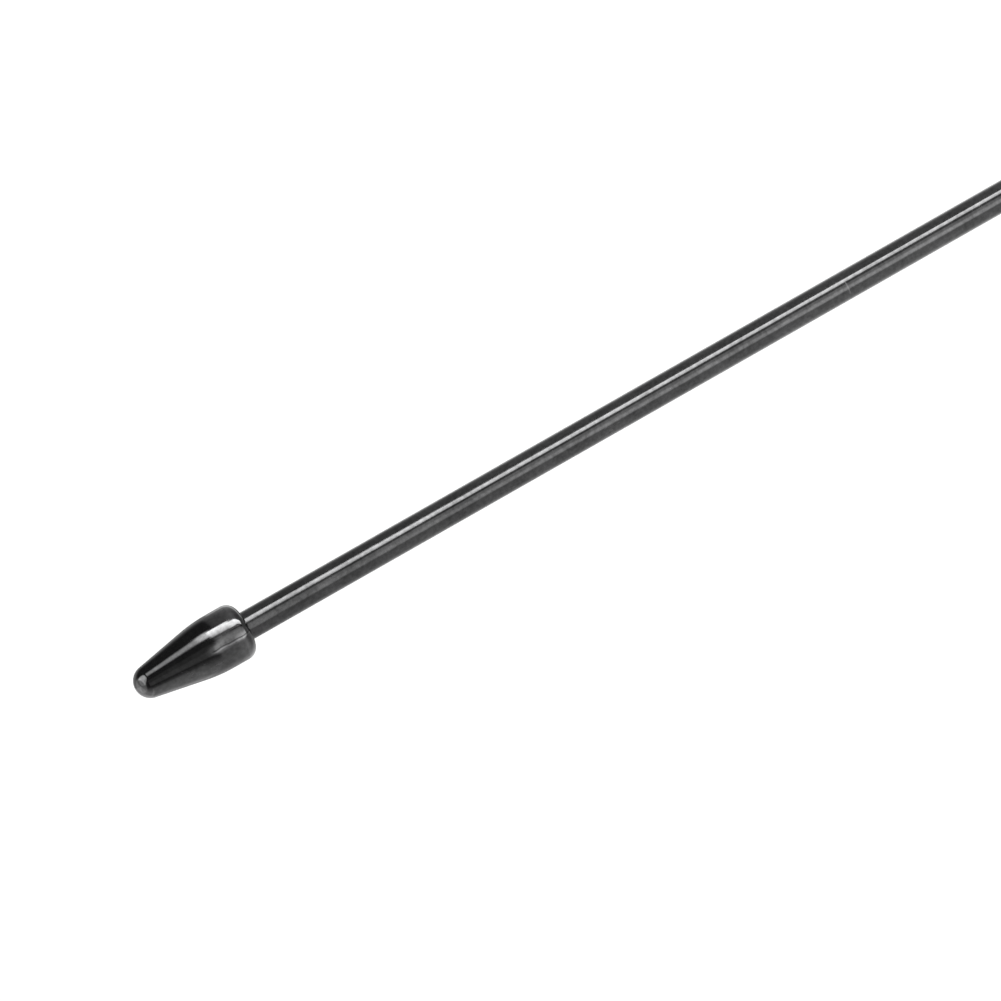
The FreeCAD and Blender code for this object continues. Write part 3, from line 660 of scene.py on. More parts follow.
@dataclass(frozen=True)
class BlackChrome(Finish):
    """Polished black chrome: a dark mirror with faint smears and hairline scratches, and any
    painted reflection lines laid on its colour.

    Args:
        haze: how much a fine haze varies the tint.
        waves: how many gentle waves of the surface lie in a millimetre.
        wave_depth: height of the waves, in millimetres.
        drawn: whether the metal keeps fine lines along its length.
        line_density: scale of those lines' noise.
        line_depth: height of the lines, in millimetres.
        ring_height: height of a bright hairline round the piece's front, if it has one.
        painted_reflection_lines: the painted reflections along it, lines of painted shade with
            painted highlights beside them.
    """

    haze: float = 0.12
    waves: float = 0.6
    wave_depth: float = 0.004
    drawn: bool = False
    line_density: float = 6.0
    line_depth: float = 0.0006
    ring_height: Optional[float] = None
    painted_reflection_lines: tuple[PaintedReflectionLine, ...] = ()

    RING_EDGE = (0.04, 0.06)  # half the ring hairline's width and its blur, in millimetres
    RING_ARC = (-0.27, 0.4, 0.1)  # middle, half and blur of its arc, in radians from -Y

    def material(self) -> bpy.types.Material:
        """Dark mirror with its own marks."""
        coat = Coat(self.slot, self.gloss, 1.0)
        graph = coat.graph
        wear = coat.effect(Effect.HANDLING, size=1.0)
        smear, scratch = wear.outputs["Smear"], wear.outputs["Scratch"]
        haze = coat.effect(Effect.GRAIN, density=2.5).outputs["Height"]
        cloud = graph.math("MULTIPLY_ADD", haze, 1.5, -0.37)
        cloud = graph.math("MULTIPLY_ADD", smear, 0.25, cloud)
        tint = coat.colour(cloud, lighter(self.tint, 1 - self.haze),
                           lighter(self.tint, 1 + self.haze))
        parts = graph.add("ShaderNodeSeparateXYZ", {0: coat.place}).outputs
        around = graph.math("ARCTAN2", parts["X"], graph.math("MULTIPLY", parts["Y"], -1.0))
        if self.ring_height is not None:
            ring = graph.band(parts["Z"], self.ring_height, *self.RING_EDGE)
            front = graph.band(around, *self.RING_ARC)
            scratch = graph.math("MAXIMUM", scratch, graph.math("MULTIPLY", ring, front))
        rough = graph.math("MULTIPLY_ADD", smear, 0.25 * self.gloss, 0.88 * self.gloss)
        rough = graph.math("MULTIPLY_ADD", scratch, 0.2, rough)
        tint = coat.stained(tint, graph.math("MULTIPLY", scratch, 0.6), lighter(self.tint, 2.5))
        # Painted reflections: lines of painted shade, each with a painted highlight beside it.
        for line in self.painted_reflection_lines:
            tint = self.paint_reflection_line(coat, line, tint, parts["Z"], around)
        coat.feed("Base Color", tint)
        coat.feed("Roughness", rough)
        stretch = (1.0, 1.0, 0.12 if self.drawn else 0.6)
        waves = graph.add("ShaderNodeTexNoise", {"Vector": graph.scaled(coat.place, stretch),
                                                 "Scale": self.waves, "Detail": 2.0}).outputs[0]
        normal = coat.bump(waves, self.wave_depth)
        if self.drawn:
            lines = coat.effect(Effect.DRAWING, density=self.line_density)
            coat.bump(lines.outputs["Height"], self.line_depth, normal)
        return coat.material

    def paint_reflection_line(self, coat: Coat, line: PaintedReflectionLine, tint: object, height: object, around: object
              ) -> bpy.types.NodeSocket:
        """Paint a reflection that wanders along the piece: a line of painted shade, with a thin
        painted highlight beside it.

        Args:
            coat: the material.
            line: the painted reflection line.
            tint: the colour so far.
            height: the surface's height.
            around: the surface's angle from -Y towards +X.

        Returns:
            The colour with the painted shade and painted highlight.
        """
        graph = coat.graph
        wander = graph.add("ShaderNodeTexNoise", {"W": height, "Scale": 0.9, "Detail": 2.0},
                           noise_dimensions="1D").outputs[0]
        middle = graph.math("MULTIPLY_ADD", wander, 2 * line.sway, line.around - line.sway)
        run = graph.band(height, (line.foot + line.top) / 2, (line.top - line.foot) / 2, 0.5)
        dark = graph.math("MULTIPLY", graph.band(around, middle, *line.width), run)
        lip = graph.band(around, graph.math("SUBTRACT", middle, line.lip_gap), *line.lip_width)
        # Painted shade along the line, then a painted highlight on the lip beside it.
        tint = coat.stained(tint, graph.math("MULTIPLY", dark, line.dark), (0.0, 0.0, 0.0))
        share = graph.math("MULTIPLY", graph.math("MULTIPLY", lip, run), line.lip)
        return coat.stained(tint, share, lighter(self.tint, 2.0))


@dataclass(frozen=True)
class TurnedMetal(Finish):
    """Plated or bare metal off the lathe, with its feed marks and faint handling wear.

    Args:
        marks: depth of the feed marks.
        per_length: feed marks in a millimetre.
    """

    marks: float = 0.0006
    per_length: float = 7.0

    def material(self) -> bpy.types.Material:
        """Metal with rings left by the tool."""
        coat = Coat(self.slot, self.gloss, 1.0)
        graph = coat.graph
        rings = coat.effect(Effect.TURNING, per_length=self.per_length)
        wear = coat.effect(Effect.HANDLING, size=0.8)
        cloud = graph.math("MULTIPLY_ADD", rings.outputs["Shade"], 0.4,
                           graph.math("MULTIPLY", wear.outputs["Smear"], 0.6))
        coat.feed("Base Color", coat.colour(cloud, lighter(self.tint, 0.9),
                                            lighter(self.tint, 1.06)))
        rough = graph.math("MULTIPLY_ADD", wear.outputs["Smear"], 0.35 * self.gloss,
                           0.82 * self.gloss)
        coat.feed("Roughness", graph.math("MULTIPLY_ADD", wear.outputs["Scratch"], 0.2, rough))
        coat.bump(rings.outputs["Height"], self.marks)
        return coat.material


@dataclass(frozen=True)
class Moulding(Finish):
    """Moulded plastic or rubber with an even grain.

    Args:
        grain: depth of the grain.
        density: grains in a millimetre.
        wax: how much light passes under the surface.
    """

    grain: float = 0.006
    density: float = 4.0
    wax: float = 0.0

    def material(self) -> bpy.types.Material:
        """Grained moulding with a slow mottle."""
        coat = Coat(self.slot, self.gloss, 0.0)
        graph = coat.graph
        skin = coat.effect(Effect.GRAIN, density=self.density)
        wear = coat.effect(Effect.HANDLING, size=0.6)
        coat.feed("Base Color", coat.colour(skin.outputs["Mottle"], lighter(self.tint, 0.85),
                                            lighter(self.tint, 1.2)))
        rough = graph.math("MULTIPLY_ADD", wear.outputs["Smear"], -0.12, self.gloss + 0.05)
        coat.feed("Roughness", rough)
        coat.bump(skin.outputs["Height"], self.grain)
        if self.wax:
            coat.shader.inputs["Subsurface Weight"].default_value = self.wax
            coat.shader.inputs["Subsurface Scale"].default_value = MM
        return coat.material


@dataclass(frozen=True)
class Lacquer(Finish):
    """Metal or clay under a clear lacquer, such as enamelled wire or a dipped disc.

    Args:
        metallic: 1 where the ground is metal.
    """

    metallic: float = 1.0

    def material(self) -> bpy.types.Material:
        """Clouded ground under a clear coat."""
        coat = Coat(self.slot, self.gloss, self.metallic)
        skin = coat.effect(Effect.GRAIN, density=1.5)
        coat.feed("Base Color", coat.colour(skin.outputs["Mottle"], lighter(self.tint, 0.8),
                                            lighter(self.tint, 1.2)))
        coat.bump(skin.outputs["Height"], 0.004)
        coat.shader.inputs["Coat Weight"].default_value = 0.8
        coat.shader.inputs["Coat Roughness"].default_value = 0.08
        return coat.material


BLACK_CHROME = BlackChrome("black_chrome", (0.1, 0.1, 0.101), 0.1)
BLACK_STEEL = TurnedMetal("black_steel", (0.06, 0.06, 0.062), 0.34)
SPRING_STEEL = TurnedMetal("spring_steel", (0.42, 0.42, 0.43), 0.3)
BRONZE = TurnedMetal("bronze", (0.62, 0.42, 0.2), 0.3)
NYLON = Moulding("black_nylon", (0.014, 0.014, 0.0145), 0.45)
RUBBER = Moulding("black_rubber", (0.01, 0.01, 0.01), 0.75, grain=0.01, density=3.0)
BRASS = TurnedMetal("raw_brass", (0.78, 0.57, 0.28), 0.28)
WIRE = Lacquer("copper_wire", (0.62, 0.22, 0.09), 0.25)
PTFE = Moulding("white_ptfe", (0.82, 0.82, 0.79), 0.4, grain=0.002, density=2.0, wax=0.3)
CERAMIC = Lacquer("ceramic_disc", (0.62, 0.34, 0.12), 0.3, metallic=0.0)
NICKEL = TurnedMetal("bright_nickel", (0.66, 0.64, 0.6), 0.16)
GILT = TurnedMetal("gilt_brass", (0.85, 0.62, 0.28), 0.16)


def placed(name: str, node: str, body: Body, finish: Finish, sheets: Iterable[Sheet]
           ) -> bpy.types.Object:
    """Make a piece, dress it and let it stand for its node.

    Args:
        name: the piece's name.
        node: the node of the frame that it replaces.
        body: the body that it rides on.
        finish: its finish.
        sheets: its surfaces.

    Returns:
        The piece.
    """
    piece = skinned(name, sheets)
    piece.data.materials.append(finish.material())
    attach(piece, body.value)
    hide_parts(node)
    log.info("%s: %d faces", name, len(piece.data.polygons))
    return piece


def arc_rows(middle_out: float, middle_up: float, radius: float, start: float, end: float,
             steps: int) -> np.ndarray:
    """Rows along an arc: out = middle + radius cos a, up = middle + radius sin a.

    Args:
        middle_out: the arc's centre, from the axis.
        middle_up: the arc's centre, along the axis.
        radius: the arc's radius.
        start: angle of its first row, in radians from straight out.
        end: angle of its last row.
        steps: runs along it.

    Returns:
        The rows.
    """
    angle = np.linspace(start, end, steps + 1)
    plain = np.zeros((steps + 1, 3))
    return np.hstack([np.stack([middle_out + radius * np.cos(angle),
                                middle_up + radius * np.sin(angle)], axis=1), plain])


@dataclass
class Whip:
    """The whip: rod, bullet cap, stepped ferrule with the hinge's tongue, and its grub screws."""

    hinge_height: float
    fit: float = 0.02
    rod_chamfer: float = 0.3
    cap_band: float = 3.0
    cap_rear_round: float = 1.25
    cap_blend_radius: float = 16.3
    cap_nose_radius: float = 1.73
    rear_steps: int = 16
    arc_steps: int = 28
    cap_socket_depth: float = 9.0
    scar_below_tip: float = 83.8
    ferrule_radius: float = 6.0
    shoulder: float = 6.4
    straight: float = 4.0
    slope: float = 3.0
    barrel_radius: float = 4.5
    barrel_bevel: float = 0.8
    socket_depth: float = 22.0
    tongue_half: float = 3.0
    tongue_hole: float = 2.05
    tongue_root: float = 1.0
    stop_chamfer: float = 0.4
    chamfer_half_turn: float = 0.006
    grub_radius: float = 1.5
    grub_length: float = 2.8
    grub_key: float = 0.75
    grub_key_depth: float = 1.2
    grub_below_top: float = 9.0
    grub_spacing: float = 8.0
    grub_hole_columns: int = 64
    break_round: float = 0.12

    def build(self) -> None:
        """Make every piece of the whip."""
        self.rod()
        self.cap()
        self.ferrule()
        self.grub_screws()

    def rod(self) -> bpy.types.Object:
        """The polished rod, its ends bevelled inside ferrule and cap."""
        reach = Extent.of("whip_rod")
        radius, bevel = reach.radius, self.rod_chamfer
        corners = [
            Corner(0, reach.foot), Corner(radius - bevel, reach.foot),
            Corner(radius, reach.foot + bevel), Corner(radius, reach.top - bevel),
            Corner(radius - bevel, reach.top), Corner(0, reach.top),
        ]
        rows = divided(rounded(corners, ring=False), step=8.0, ring=False)
        tip = Extent.of("tip_cap").top
        finish = replace(BLACK_CHROME, haze=0.4, drawn=True,
                         ring_height=tip - self.scar_below_tip)
        return placed("polished_rod", "whip_rod", Body.WHIP, finish, [turned(rows, False)])

    def cap(self) -> bpy.types.Object:
        """The bullet cap: a rounded rear edge, a straight stretch, a large arc into a slender
        cone, and the ball nose, each tangent to the next.

        The cone's lean from the axis is the angle between the line of the two arcs' centres and
        the one that their difference in radius asks for.
        """
        reach = Extent.of("tip_cap")
        bore = Extent.of("whip_rod").radius + self.fit
        nose_up = reach.top - self.cap_nose_radius
        blend_up = reach.foot + self.cap_band
        blend_out = reach.radius - self.cap_blend_radius
        span = math.hypot(nose_up - blend_up, blend_out)
        lean = (math.atan2(nose_up - blend_up, -blend_out)
                - math.acos((self.cap_blend_radius - self.cap_nose_radius) / span))
        rear_out = reach.radius - self.cap_rear_round
        rear_up = reach.foot + self.cap_rear_round
        rows = np.vstack([
            rounded([Corner(0, reach.foot + self.cap_socket_depth),
                     Corner(bore, reach.foot + self.cap_socket_depth),
                     Corner(bore, reach.foot, 0.05), Corner(rear_out, reach.foot)], False)[:-1],
            arc_rows(rear_out, rear_up, self.cap_rear_round, -TURN / 4, 0, self.rear_steps),
            arc_rows(blend_out, blend_up, self.cap_blend_radius, 0, lean, self.arc_steps),
            arc_rows(0, nose_up, self.cap_nose_radius, lean, TURN / 4, self.arc_steps),
        ])
        rows[-1, 0] = 0
        rows = divided(rows, step=1.0, ring=False)
        # A painted reflection on the cap's rear: a wandering line of painted shade with a painted
        # highlight beside it.
        line = PaintedReflectionLine(around=-0.21, sway=0.035, foot=reach.foot + 0.4, top=reach.foot + 4.4,
                        dark=0.55, lip=0.5)
        finish = replace(BLACK_CHROME, tint=lighter(BLACK_CHROME.tint, 1.4), gloss=0.09,
                         haze=0.3, waves=1.1, painted_reflection_lines=(line,))
        return placed("bullet_cap", "tip_cap", Body.WHIP, finish, [turned(rows, False)])

    def tongue_edge(self, angles: np.ndarray) -> np.ndarray:
        """Distance of the tongue's edge from the pin at each angle.

        Above the pin it is the nearer of the bar's side and the shoulder. Below it is round on
        the +X side and square, with a small chamfer, on the -X side.
        """
        half = self.ferrule_radius
        across, up = np.cos(angles), np.sin(angles)
        wide = half / np.maximum(np.abs(across), TINY)
        tall = (self.shoulder + self.tongue_root) / np.maximum(up, TINY)
        deep = half / np.maximum(-up, TINY)
        cut = (2 * half - self.stop_chamfer) / (np.abs(across) + np.abs(up))
        square = np.minimum(np.minimum(wide, deep), cut)
        below = np.where(across > 0, half, square)
        return np.where(up > 0, np.minimum(wide, tall), below)

    def tongue(self) -> Sheet:
        """The hinge's tongue: a plate round the pin's hole, its sides those of the round bar."""
        half, hole = self.tongue_half, self.tongue_hole
        corners = [
            Corner(hole, -half, 0.15), Corner(0, -half, 0.2, plate=1),
            Corner(0, half, 0.2, plate=1), Corner(hole, half, 0.15),
        ]
        stop_corner = 0.625 * TURN  # down and towards -X, at 225 degrees
        chamfer_ends = stop_corner + np.array([-1, 1]) * self.chamfer_half_turn * TURN
        angles = np.unique(np.concatenate([np.arange(COLUMNS) * TURN / COLUMNS, chamfer_ends]))
        sheet = turned(rounded(corners, ring=True), True, Axis.Y, 0.0, angles,
                       edge=self.tongue_edge(angles))
        aside = np.minimum(sheet.points[:, :, 1] ** 2, half ** 2)
        across = np.sqrt(self.ferrule_radius ** 2 - aside)
        sheet.points[:, :, 0] = np.clip(sheet.points[:, :, 0], -across, across)
        sheet.points[:, :, 2] += self.hinge_height
        return sheet

    def ferrule(self) -> bpy.types.Object:
        """The ferrule: a stout foot, a cone, and the barrel that the rod is clamped in."""
        low = self.hinge_height + self.shoulder
        top = Extent.of("whip_ferrule").top
        bore = Extent.of("whip_rod").radius + self.fit
        stout, slim, soft = self.ferrule_radius, self.barrel_radius, self.break_round
        corners = [
            Corner(0, low), Corner(stout, low, soft), Corner(stout, low + self.straight, 0.5),
            Corner(slim, low + self.straight + self.slope, 0.9),
            Corner(slim, top - self.barrel_bevel, 0.25), Corner(slim - self.barrel_bevel, top, 0.2),
            Corner(bore, top, 0.1), Corner(bore, top - self.socket_depth),
            Corner(0, top - self.socket_depth),
        ]
        rows = divided(rounded(corners, ring=False), step=1.5, ring=False)
        piece = placed("stepped_ferrule", "whip_ferrule", Body.WHIP, BLACK_CHROME,
                       [turned(rows, False), self.tongue()])
        drilled(piece, [self.grub_hole(level) for level in self.grub_levels()])
        return piece

    def grub_levels(self) -> tuple[float, float]:
        """Heights of the two grub screws."""
        upper = Extent.of("whip_ferrule").top - self.grub_below_top
        return upper, upper - self.grub_spacing

    def grub_hole(self, level: float) -> Sheet:
        """A grub screw's hole from the rod out through the barrel, countersunk a little."""
        radius, outside = self.grub_radius + self.fit, self.barrel_radius
        corners = [
            Corner(0, -1.0), Corner(radius, -1.0), Corner(radius, 0.12 - outside),
            Corner(radius + 0.4, -outside - 0.28), Corner(0, -outside - 0.28),
        ]
        angles = np.arange(self.grub_hole_columns) * TURN / self.grub_hole_columns
        return turned(rounded(corners, ring=False), False, Axis.X, level, angles)

    def grub_screws(self) -> bpy.types.Object:
        """Two socket set screws on the -X side, recessed a little."""
        start = -Extent.of("whip_rod").radius
        end = start - self.grub_length
        key, depth = self.grub_key, self.grub_key_depth
        corners = [
            Corner(0, start), Corner(self.grub_radius, start, 0.1),
            Corner(self.grub_radius, end, 0.22), Corner(key + 0.25, end, 0.08),
            Corner(key, end + 0.16, 0.03, hexagon=1), Corner(key, end + depth, hexagon=1),
            Corner(0, end + depth + 0.3),
        ]
        rows = rounded(corners, ring=False)
        return placed("socket_grubs", "whip_grub_screws", Body.WHIP, BLACK_STEEL,
                      [turned(rows, False, Axis.X, level) for level in self.grub_levels()])


@dataclass
class Hinge:
    """The fold-over hinge's lower half: fork, screw, nut and washers."""

    hinge_height: float
    bar_radius: float = 8.0
    flange: float = 3.0
    knuckle: float = 6.0
    ear_drop: float = 6.3
    ear_root: float = 0.6
    slot_half: float = 3.6
    joint_step: float = 0.004
    stud_radius: float = 4.0
    stud_length: float = 8.0
    stud_tip_radius: float = 1.5
    thread_pitch: float = 1.25
    thread_depth: float = 0.45
    thread_runout: float = 0.6
    screw_radius: float = 2.0
    screw_fit: float = 0.02
    head_radius: float = 3.8
    head_height: float = 2.2
    head_play: float = 0.2
    key: float = 1.25
    key_depth: float = 1.3
    nut_half: float = 3.5
    nut_thickness: float = 2.2
    bevel_share: float = 0.985
    bevel_slope: float = 1.7
    pocket_play: float = 0.1
    washer_thickness: float = 0.4
    washer_rise: float = 0.2
    cone_radius: float = 3.4
    friction_thickness: float = 0.5
    friction_radius: float = 3.8

    def build(self) -> None:
        """Make every piece of the hinge's lower half."""
        self.fork()
        self.screw()
        self.nut()
        self.coned_washer()
        self.friction_washers()

    def ear_edge(self, angles: np.ndarray) -> np.ndarray:
        """Distance of an ear's edge from the pin: round above it, straight-sided below."""
        across, up = np.cos(angles), np.sin(angles)
        wide = self.knuckle / np.maximum(np.abs(across), TINY)
        deep = (self.ear_drop + self.ear_root) / np.maximum(-up, TINY)
        return np.where(up > 0, self.knuckle, np.minimum(wide, deep))

    def ear(self, seat: float, rim: Corner, turned_round: bool) -> Sheet:
        """One ear: a plate with a flat inner face, an outer face that follows the bar, and the
        seat of the screw's head or of the nut sunk into it.

        Args:
            seat: distance of the seat's floor from the middle.
            rim: the seat's wall, as a corner on the outer face.
            turned_round: whether the ear lies on the -Y side.

        Returns:
            The ear.
        """
        hole = self.screw_radius + self.screw_fit
        corners = [
            Corner(hole, self.slot_half, 0.1), Corner(0, self.slot_half, 0.25, plate=1),
            Corner(0, self.bar_radius, 0.35, plate=1, bar=1),
            Corner(rim.out, self.bar_radius, 0.12, hexagon=rim.hexagon, bar=1),
            Corner(rim.out, seat, hexagon=rim.hexagon), Corner(hole, seat),
        ]
        angles = np.arange(COLUMNS) * TURN / COLUMNS
        rows = divided(rounded(corners, ring=True), step=0.5, ring=True)
        sheet = turned(rows, True, Axis.Y, self.hinge_height, angles, edge=self.ear_edge(angles),
                       bar_radius=self.bar_radius)
        if turned_round:
            sheet.points[:, :, 1] *= -1
        return sheet

    def thread(self, out: np.ndarray, up: np.ndarray, angle: np.ndarray
               ) -> tuple[np.ndarray, np.ndarray]:
        """Cut the stud's thread: a groove whose depth is a clipped wave of up / pitch - turns."""
        wave = np.abs((up / self.thread_pitch - angle / TURN) % 1 - 0.5) * 2
        depth = self.thread_depth * np.clip(1.3 * wave - 0.2, 0, 1)
        seat = self.hinge_height - self.ear_drop - self.flange
        threaded = (np.abs(out - self.stud_radius) < 0.05) & (up < seat - self.thread_runout)
        return np.where(threaded, out - depth, out), up

    def fork(self) -> bpy.types.Object:
        """The fork: stud and flange turned, the two ears milled from the same bar."""
        floor = self.hinge_height - self.ear_drop
        seat = floor - self.flange
        corners = [
            Corner(0, Extent.of("hinge_fork").foot),
            Corner(self.stud_tip_radius, Extent.of("hinge_fork").foot, 0.2),
            Corner(self.stud_tip_radius, seat - self.stud_length),
            Corner(self.stud_radius, seat - self.stud_length, 0.3),
            Corner(self.stud_radius, seat), Corner(self.bar_radius - 0.4, seat, 0.1),
            Corner(self.bar_radius - self.joint_step, seat + 0.4, 0.1),
            Corner(self.bar_radius - self.joint_step, floor, 0.2), Corner(0, floor),
        ]
        rows = divided(rounded(corners, ring=False), step=0.12, ring=False)
        head = Corner(self.head_radius + self.head_play, 0)
        nut = Corner(self.nut_half + self.pocket_play, 0, hexagon=1)
        nut_floor = self.bar_radius - self.nut_thickness - self.washer_thickness - self.washer_rise
        return placed("milled_fork", "hinge_fork", Body.BASE, BLACK_CHROME, [
            turned(rows, False, reshape=self.thread),
            self.ear(self.bar_radius - self.head_height, head, True),
            self.ear(nut_floor, nut, False),
        ])

    def screw(self) -> bpy.types.Object:
        """The socket-head screw, its end flush with the nut."""
        out, seat = self.bar_radius, self.bar_radius - self.head_height
        corners = [
            Corner(0, self.key_depth - out + 0.35),
            Corner(self.key, self.key_depth - out, hexagon=1),
            Corner(self.key, 0.18 - out, 0.04, hexagon=1), Corner(self.key + 0.3, -out, 0.1),
            Corner(self.head_radius - 0.6, -out, 0.3), Corner(self.head_radius, 0.6 - out, 0.25),
            Corner(self.head_radius, -seat, 0.08), Corner(self.screw_radius, -seat),
            Corner(self.screw_radius, out - 0.3, 0.05), Corner(self.screw_radius - 0.3, out, 0.05),
            Corner(0, out),
        ]
        return placed("socket_screw", "hinge_screw", Body.BASE, BLACK_STEEL,
                      [turned(rounded(corners, ring=False), False, Axis.Y, self.hinge_height)])

    def nut(self) -> bpy.types.Object:
        """The thin nut: a hexagon whose corners are bevelled by a cone at its outer face.

        The outside is the nearer of the hexagon and a cone that widens by the bevel's slope for
        each 1 down from the outer face.
        """
        half, out, seat = self.nut_half, self.bar_radius, self.bar_radius - self.nut_thickness
        hole = self.screw_radius + self.screw_fit

        def bevel(reach: np.ndarray, along: np.ndarray, angle: np.ndarray
                  ) -> tuple[np.ndarray, np.ndarray]:
            """Limit the outside to the cone."""
            cone = half * self.bevel_share + (out - along) * self.bevel_slope
            return np.minimum(reach, cone), along

        corners = [
            Corner(hole, seat), Corner(half, seat, 0.1, hexagon=1), Corner(half, out, hexagon=1),
            Corner(hole + 0.25, out, 0.08), Corner(hole, out - 0.25, 0.05),
        ]
        rows = divided(rounded(corners, ring=True), step=0.1, ring=True)
        return placed("bevelled_nut", "hinge_nut", Body.BASE, BLACK_STEEL,
                      [turned(rows, True, Axis.Y, self.hinge_height, reshape=bevel)])

    def coned_washer(self) -> bpy.types.Object:
        """The conical spring washer under the nut."""
        floor = self.bar_radius - self.nut_thickness - self.washer_thickness - self.washer_rise
        hole = self.screw_radius + self.screw_fit
        thick, rise = self.washer_thickness, self.washer_rise
        corners = [
            Corner(hole, floor + rise, 0.06), Corner(self.cone_radius, floor, 0.06),
            Corner(self.cone_radius, floor + thick, 0.1), Corner(hole, floor + rise + thick, 0.1),
        ]
        return placed("coned_washer", "spring_washer", Body.BASE, SPRING_STEEL,
                      [turned(rounded(corners, ring=True), True, Axis.Y, self.hinge_height)])

    def friction_washers(self) -> bpy.types.Object:
        """The two thin washers on the inner faces of the ears."""
        hole = self.screw_radius + self.screw_fit
        far, near = self.slot_half, self.slot_half - self.friction_thickness
        sheets = []
        for side in (1, -1):
            corners = [
                Corner(hole, side * near, 0.05), Corner(self.friction_radius, side * near, 0.1),
                Corner(self.friction_radius, side * far, 0.05), Corner(hole, side * far, 0.05),
            ]
            sheets.append(turned(rounded(corners, ring=True), True, Axis.Y, self.hinge_height))
        return placed("bronze_washers", "friction_washers", Body.BASE, BRONZE, sheets)


@dataclass
class LoadedBase:
    """The loaded base: moulded housing, its two seals, the plated collar and the coil inside."""

    housing_slope: float = 1.6
    housing_top_radius: float = 8.0
    housing_roof: float = 8.3
    insert_bore: float = 5.52
    fit: float = 0.02
    spigot_radius: float = 7.45
    collar_thickness: float = 3.0
    shank_bore: float = 5.52
    shank_room: float = 6.0
    through_bore: float = 4.0
    stud_bore: float = 4.02
    squeeze: float = 0.05
    wire_radius: float = 0.6
    coil_radius: float = 5.12
    coil_turns: int = 3
    points_per_turn: int = 48
    lead_roots: tuple[float, float] = (1.22, 1.52)
    lead_points: int = 8

    def build(self) -> None:
        """Make every piece of the loaded base, the coil hidden inside it among them."""
        self.housing()
        self.seal("lower_seal", "base_gasket", self.spigot_radius + self.fit)
        self.seal("upper_seal", "fork_gasket", self.stud_bore)
        self.collar()
        self.coil()

    def housing(self) -> bpy.types.Object:
        """The black shell, bored for the collar's spigot and for the insert in its roof."""
        reach = Extent.of("coil_housing")
        inner = self.spigot_radius + self.fit
        ceiling = reach.top - self.housing_roof
        corners = [
            Corner(inner, reach.foot, 0.1), Corner(reach.radius, reach.foot, 0.25),
            Corner(reach.radius, reach.top - self.housing_slope, 0.8),
            Corner(self.housing_top_radius, reach.top, 0.4),
            Corner(self.insert_bore, reach.top, 0.1), Corner(self.insert_bore, ceiling),
            Corner(inner, ceiling, 0.5),
        ]
        rows = divided(rounded(corners, ring=True), step=2.0, ring=True)
        return placed("moulded_housing", "coil_housing", Body.BASE, NYLON, [turned(rows, True)])

    def seal(self, name: str, node: str, hole: float) -> bpy.types.Object:
        """A flat rubber ring whose outer edge bulges a little under the squeeze."""
        reach = Extent.of(node)
        middle, edge = (reach.foot + reach.top) / 2, reach.radius - self.squeeze
        corners = [
            Corner(hole, reach.foot), Corner(edge, reach.foot, 0.04),
            Corner(reach.radius, middle, 0.5), Corner(edge, reach.top, 0.04),
            Corner(hole, reach.top),
        ]
        return placed(name, node, Body.BASE, RUBBER, [turned(rounded(corners, ring=True), True)])

    def collar(self) -> bpy.types.Object:
        """The plated collar: a bevelled rim, with the spigot that carries the housing."""
        reach = Extent.of("base_collar")
        step = reach.foot + self.collar_thickness
        corners = [
            Corner(self.shank_bore, reach.foot, 0.1), Corner(reach.radius - 0.4, reach.foot, 0.12),
            Corner(reach.radius, reach.foot + 0.4, 0.12), Corner(reach.radius, step, 0.15),
            Corner(self.spigot_radius, step), Corner(self.spigot_radius, reach.top, 0.2),
            Corner(self.through_bore, reach.top, 0.1),
            Corner(self.through_bore, reach.foot + self.shank_room),
            Corner(self.shank_bore, reach.foot + self.shank_room),
        ]
        rows = divided(rounded(corners, ring=True), step=1.0, ring=True)
        return placed("plated_collar", "base_collar", Body.BASE, NICKEL, [turned(rows, True)])

    def coil(self) -> bpy.types.Object:
        """The winding: a helix, and a straight lead from each of its ends in to the core.

        The helix is (r cos a, r sin a, z), with z rising evenly with a.
        """
        reach = Extent.of("loading_coil")
        low, high = reach.foot + self.wire_radius, reach.top - self.wire_radius
        share = np.linspace(0, 1, self.coil_turns * self.points_per_turn + 1)
        angle = share * self.coil_turns * TURN
        helix = np.stack([self.coil_radius * np.cos(angle), self.coil_radius * np.sin(angle),
                          low + share * (high - low)], axis=1)
        sheets = [tube(helix, self.wire_radius)]
        for root, height in zip(self.lead_roots, (low, high)):
            lead = np.zeros((self.lead_points, 3))
            lead[:, 0] = np.linspace(root, self.coil_radius, self.lead_points)
            lead[:, 2] = height
            sheets.append(tube(lead, self.wire_radius))
        return placed("wound_coil", "loading_coil", Body.BASE, WIRE, sheets)


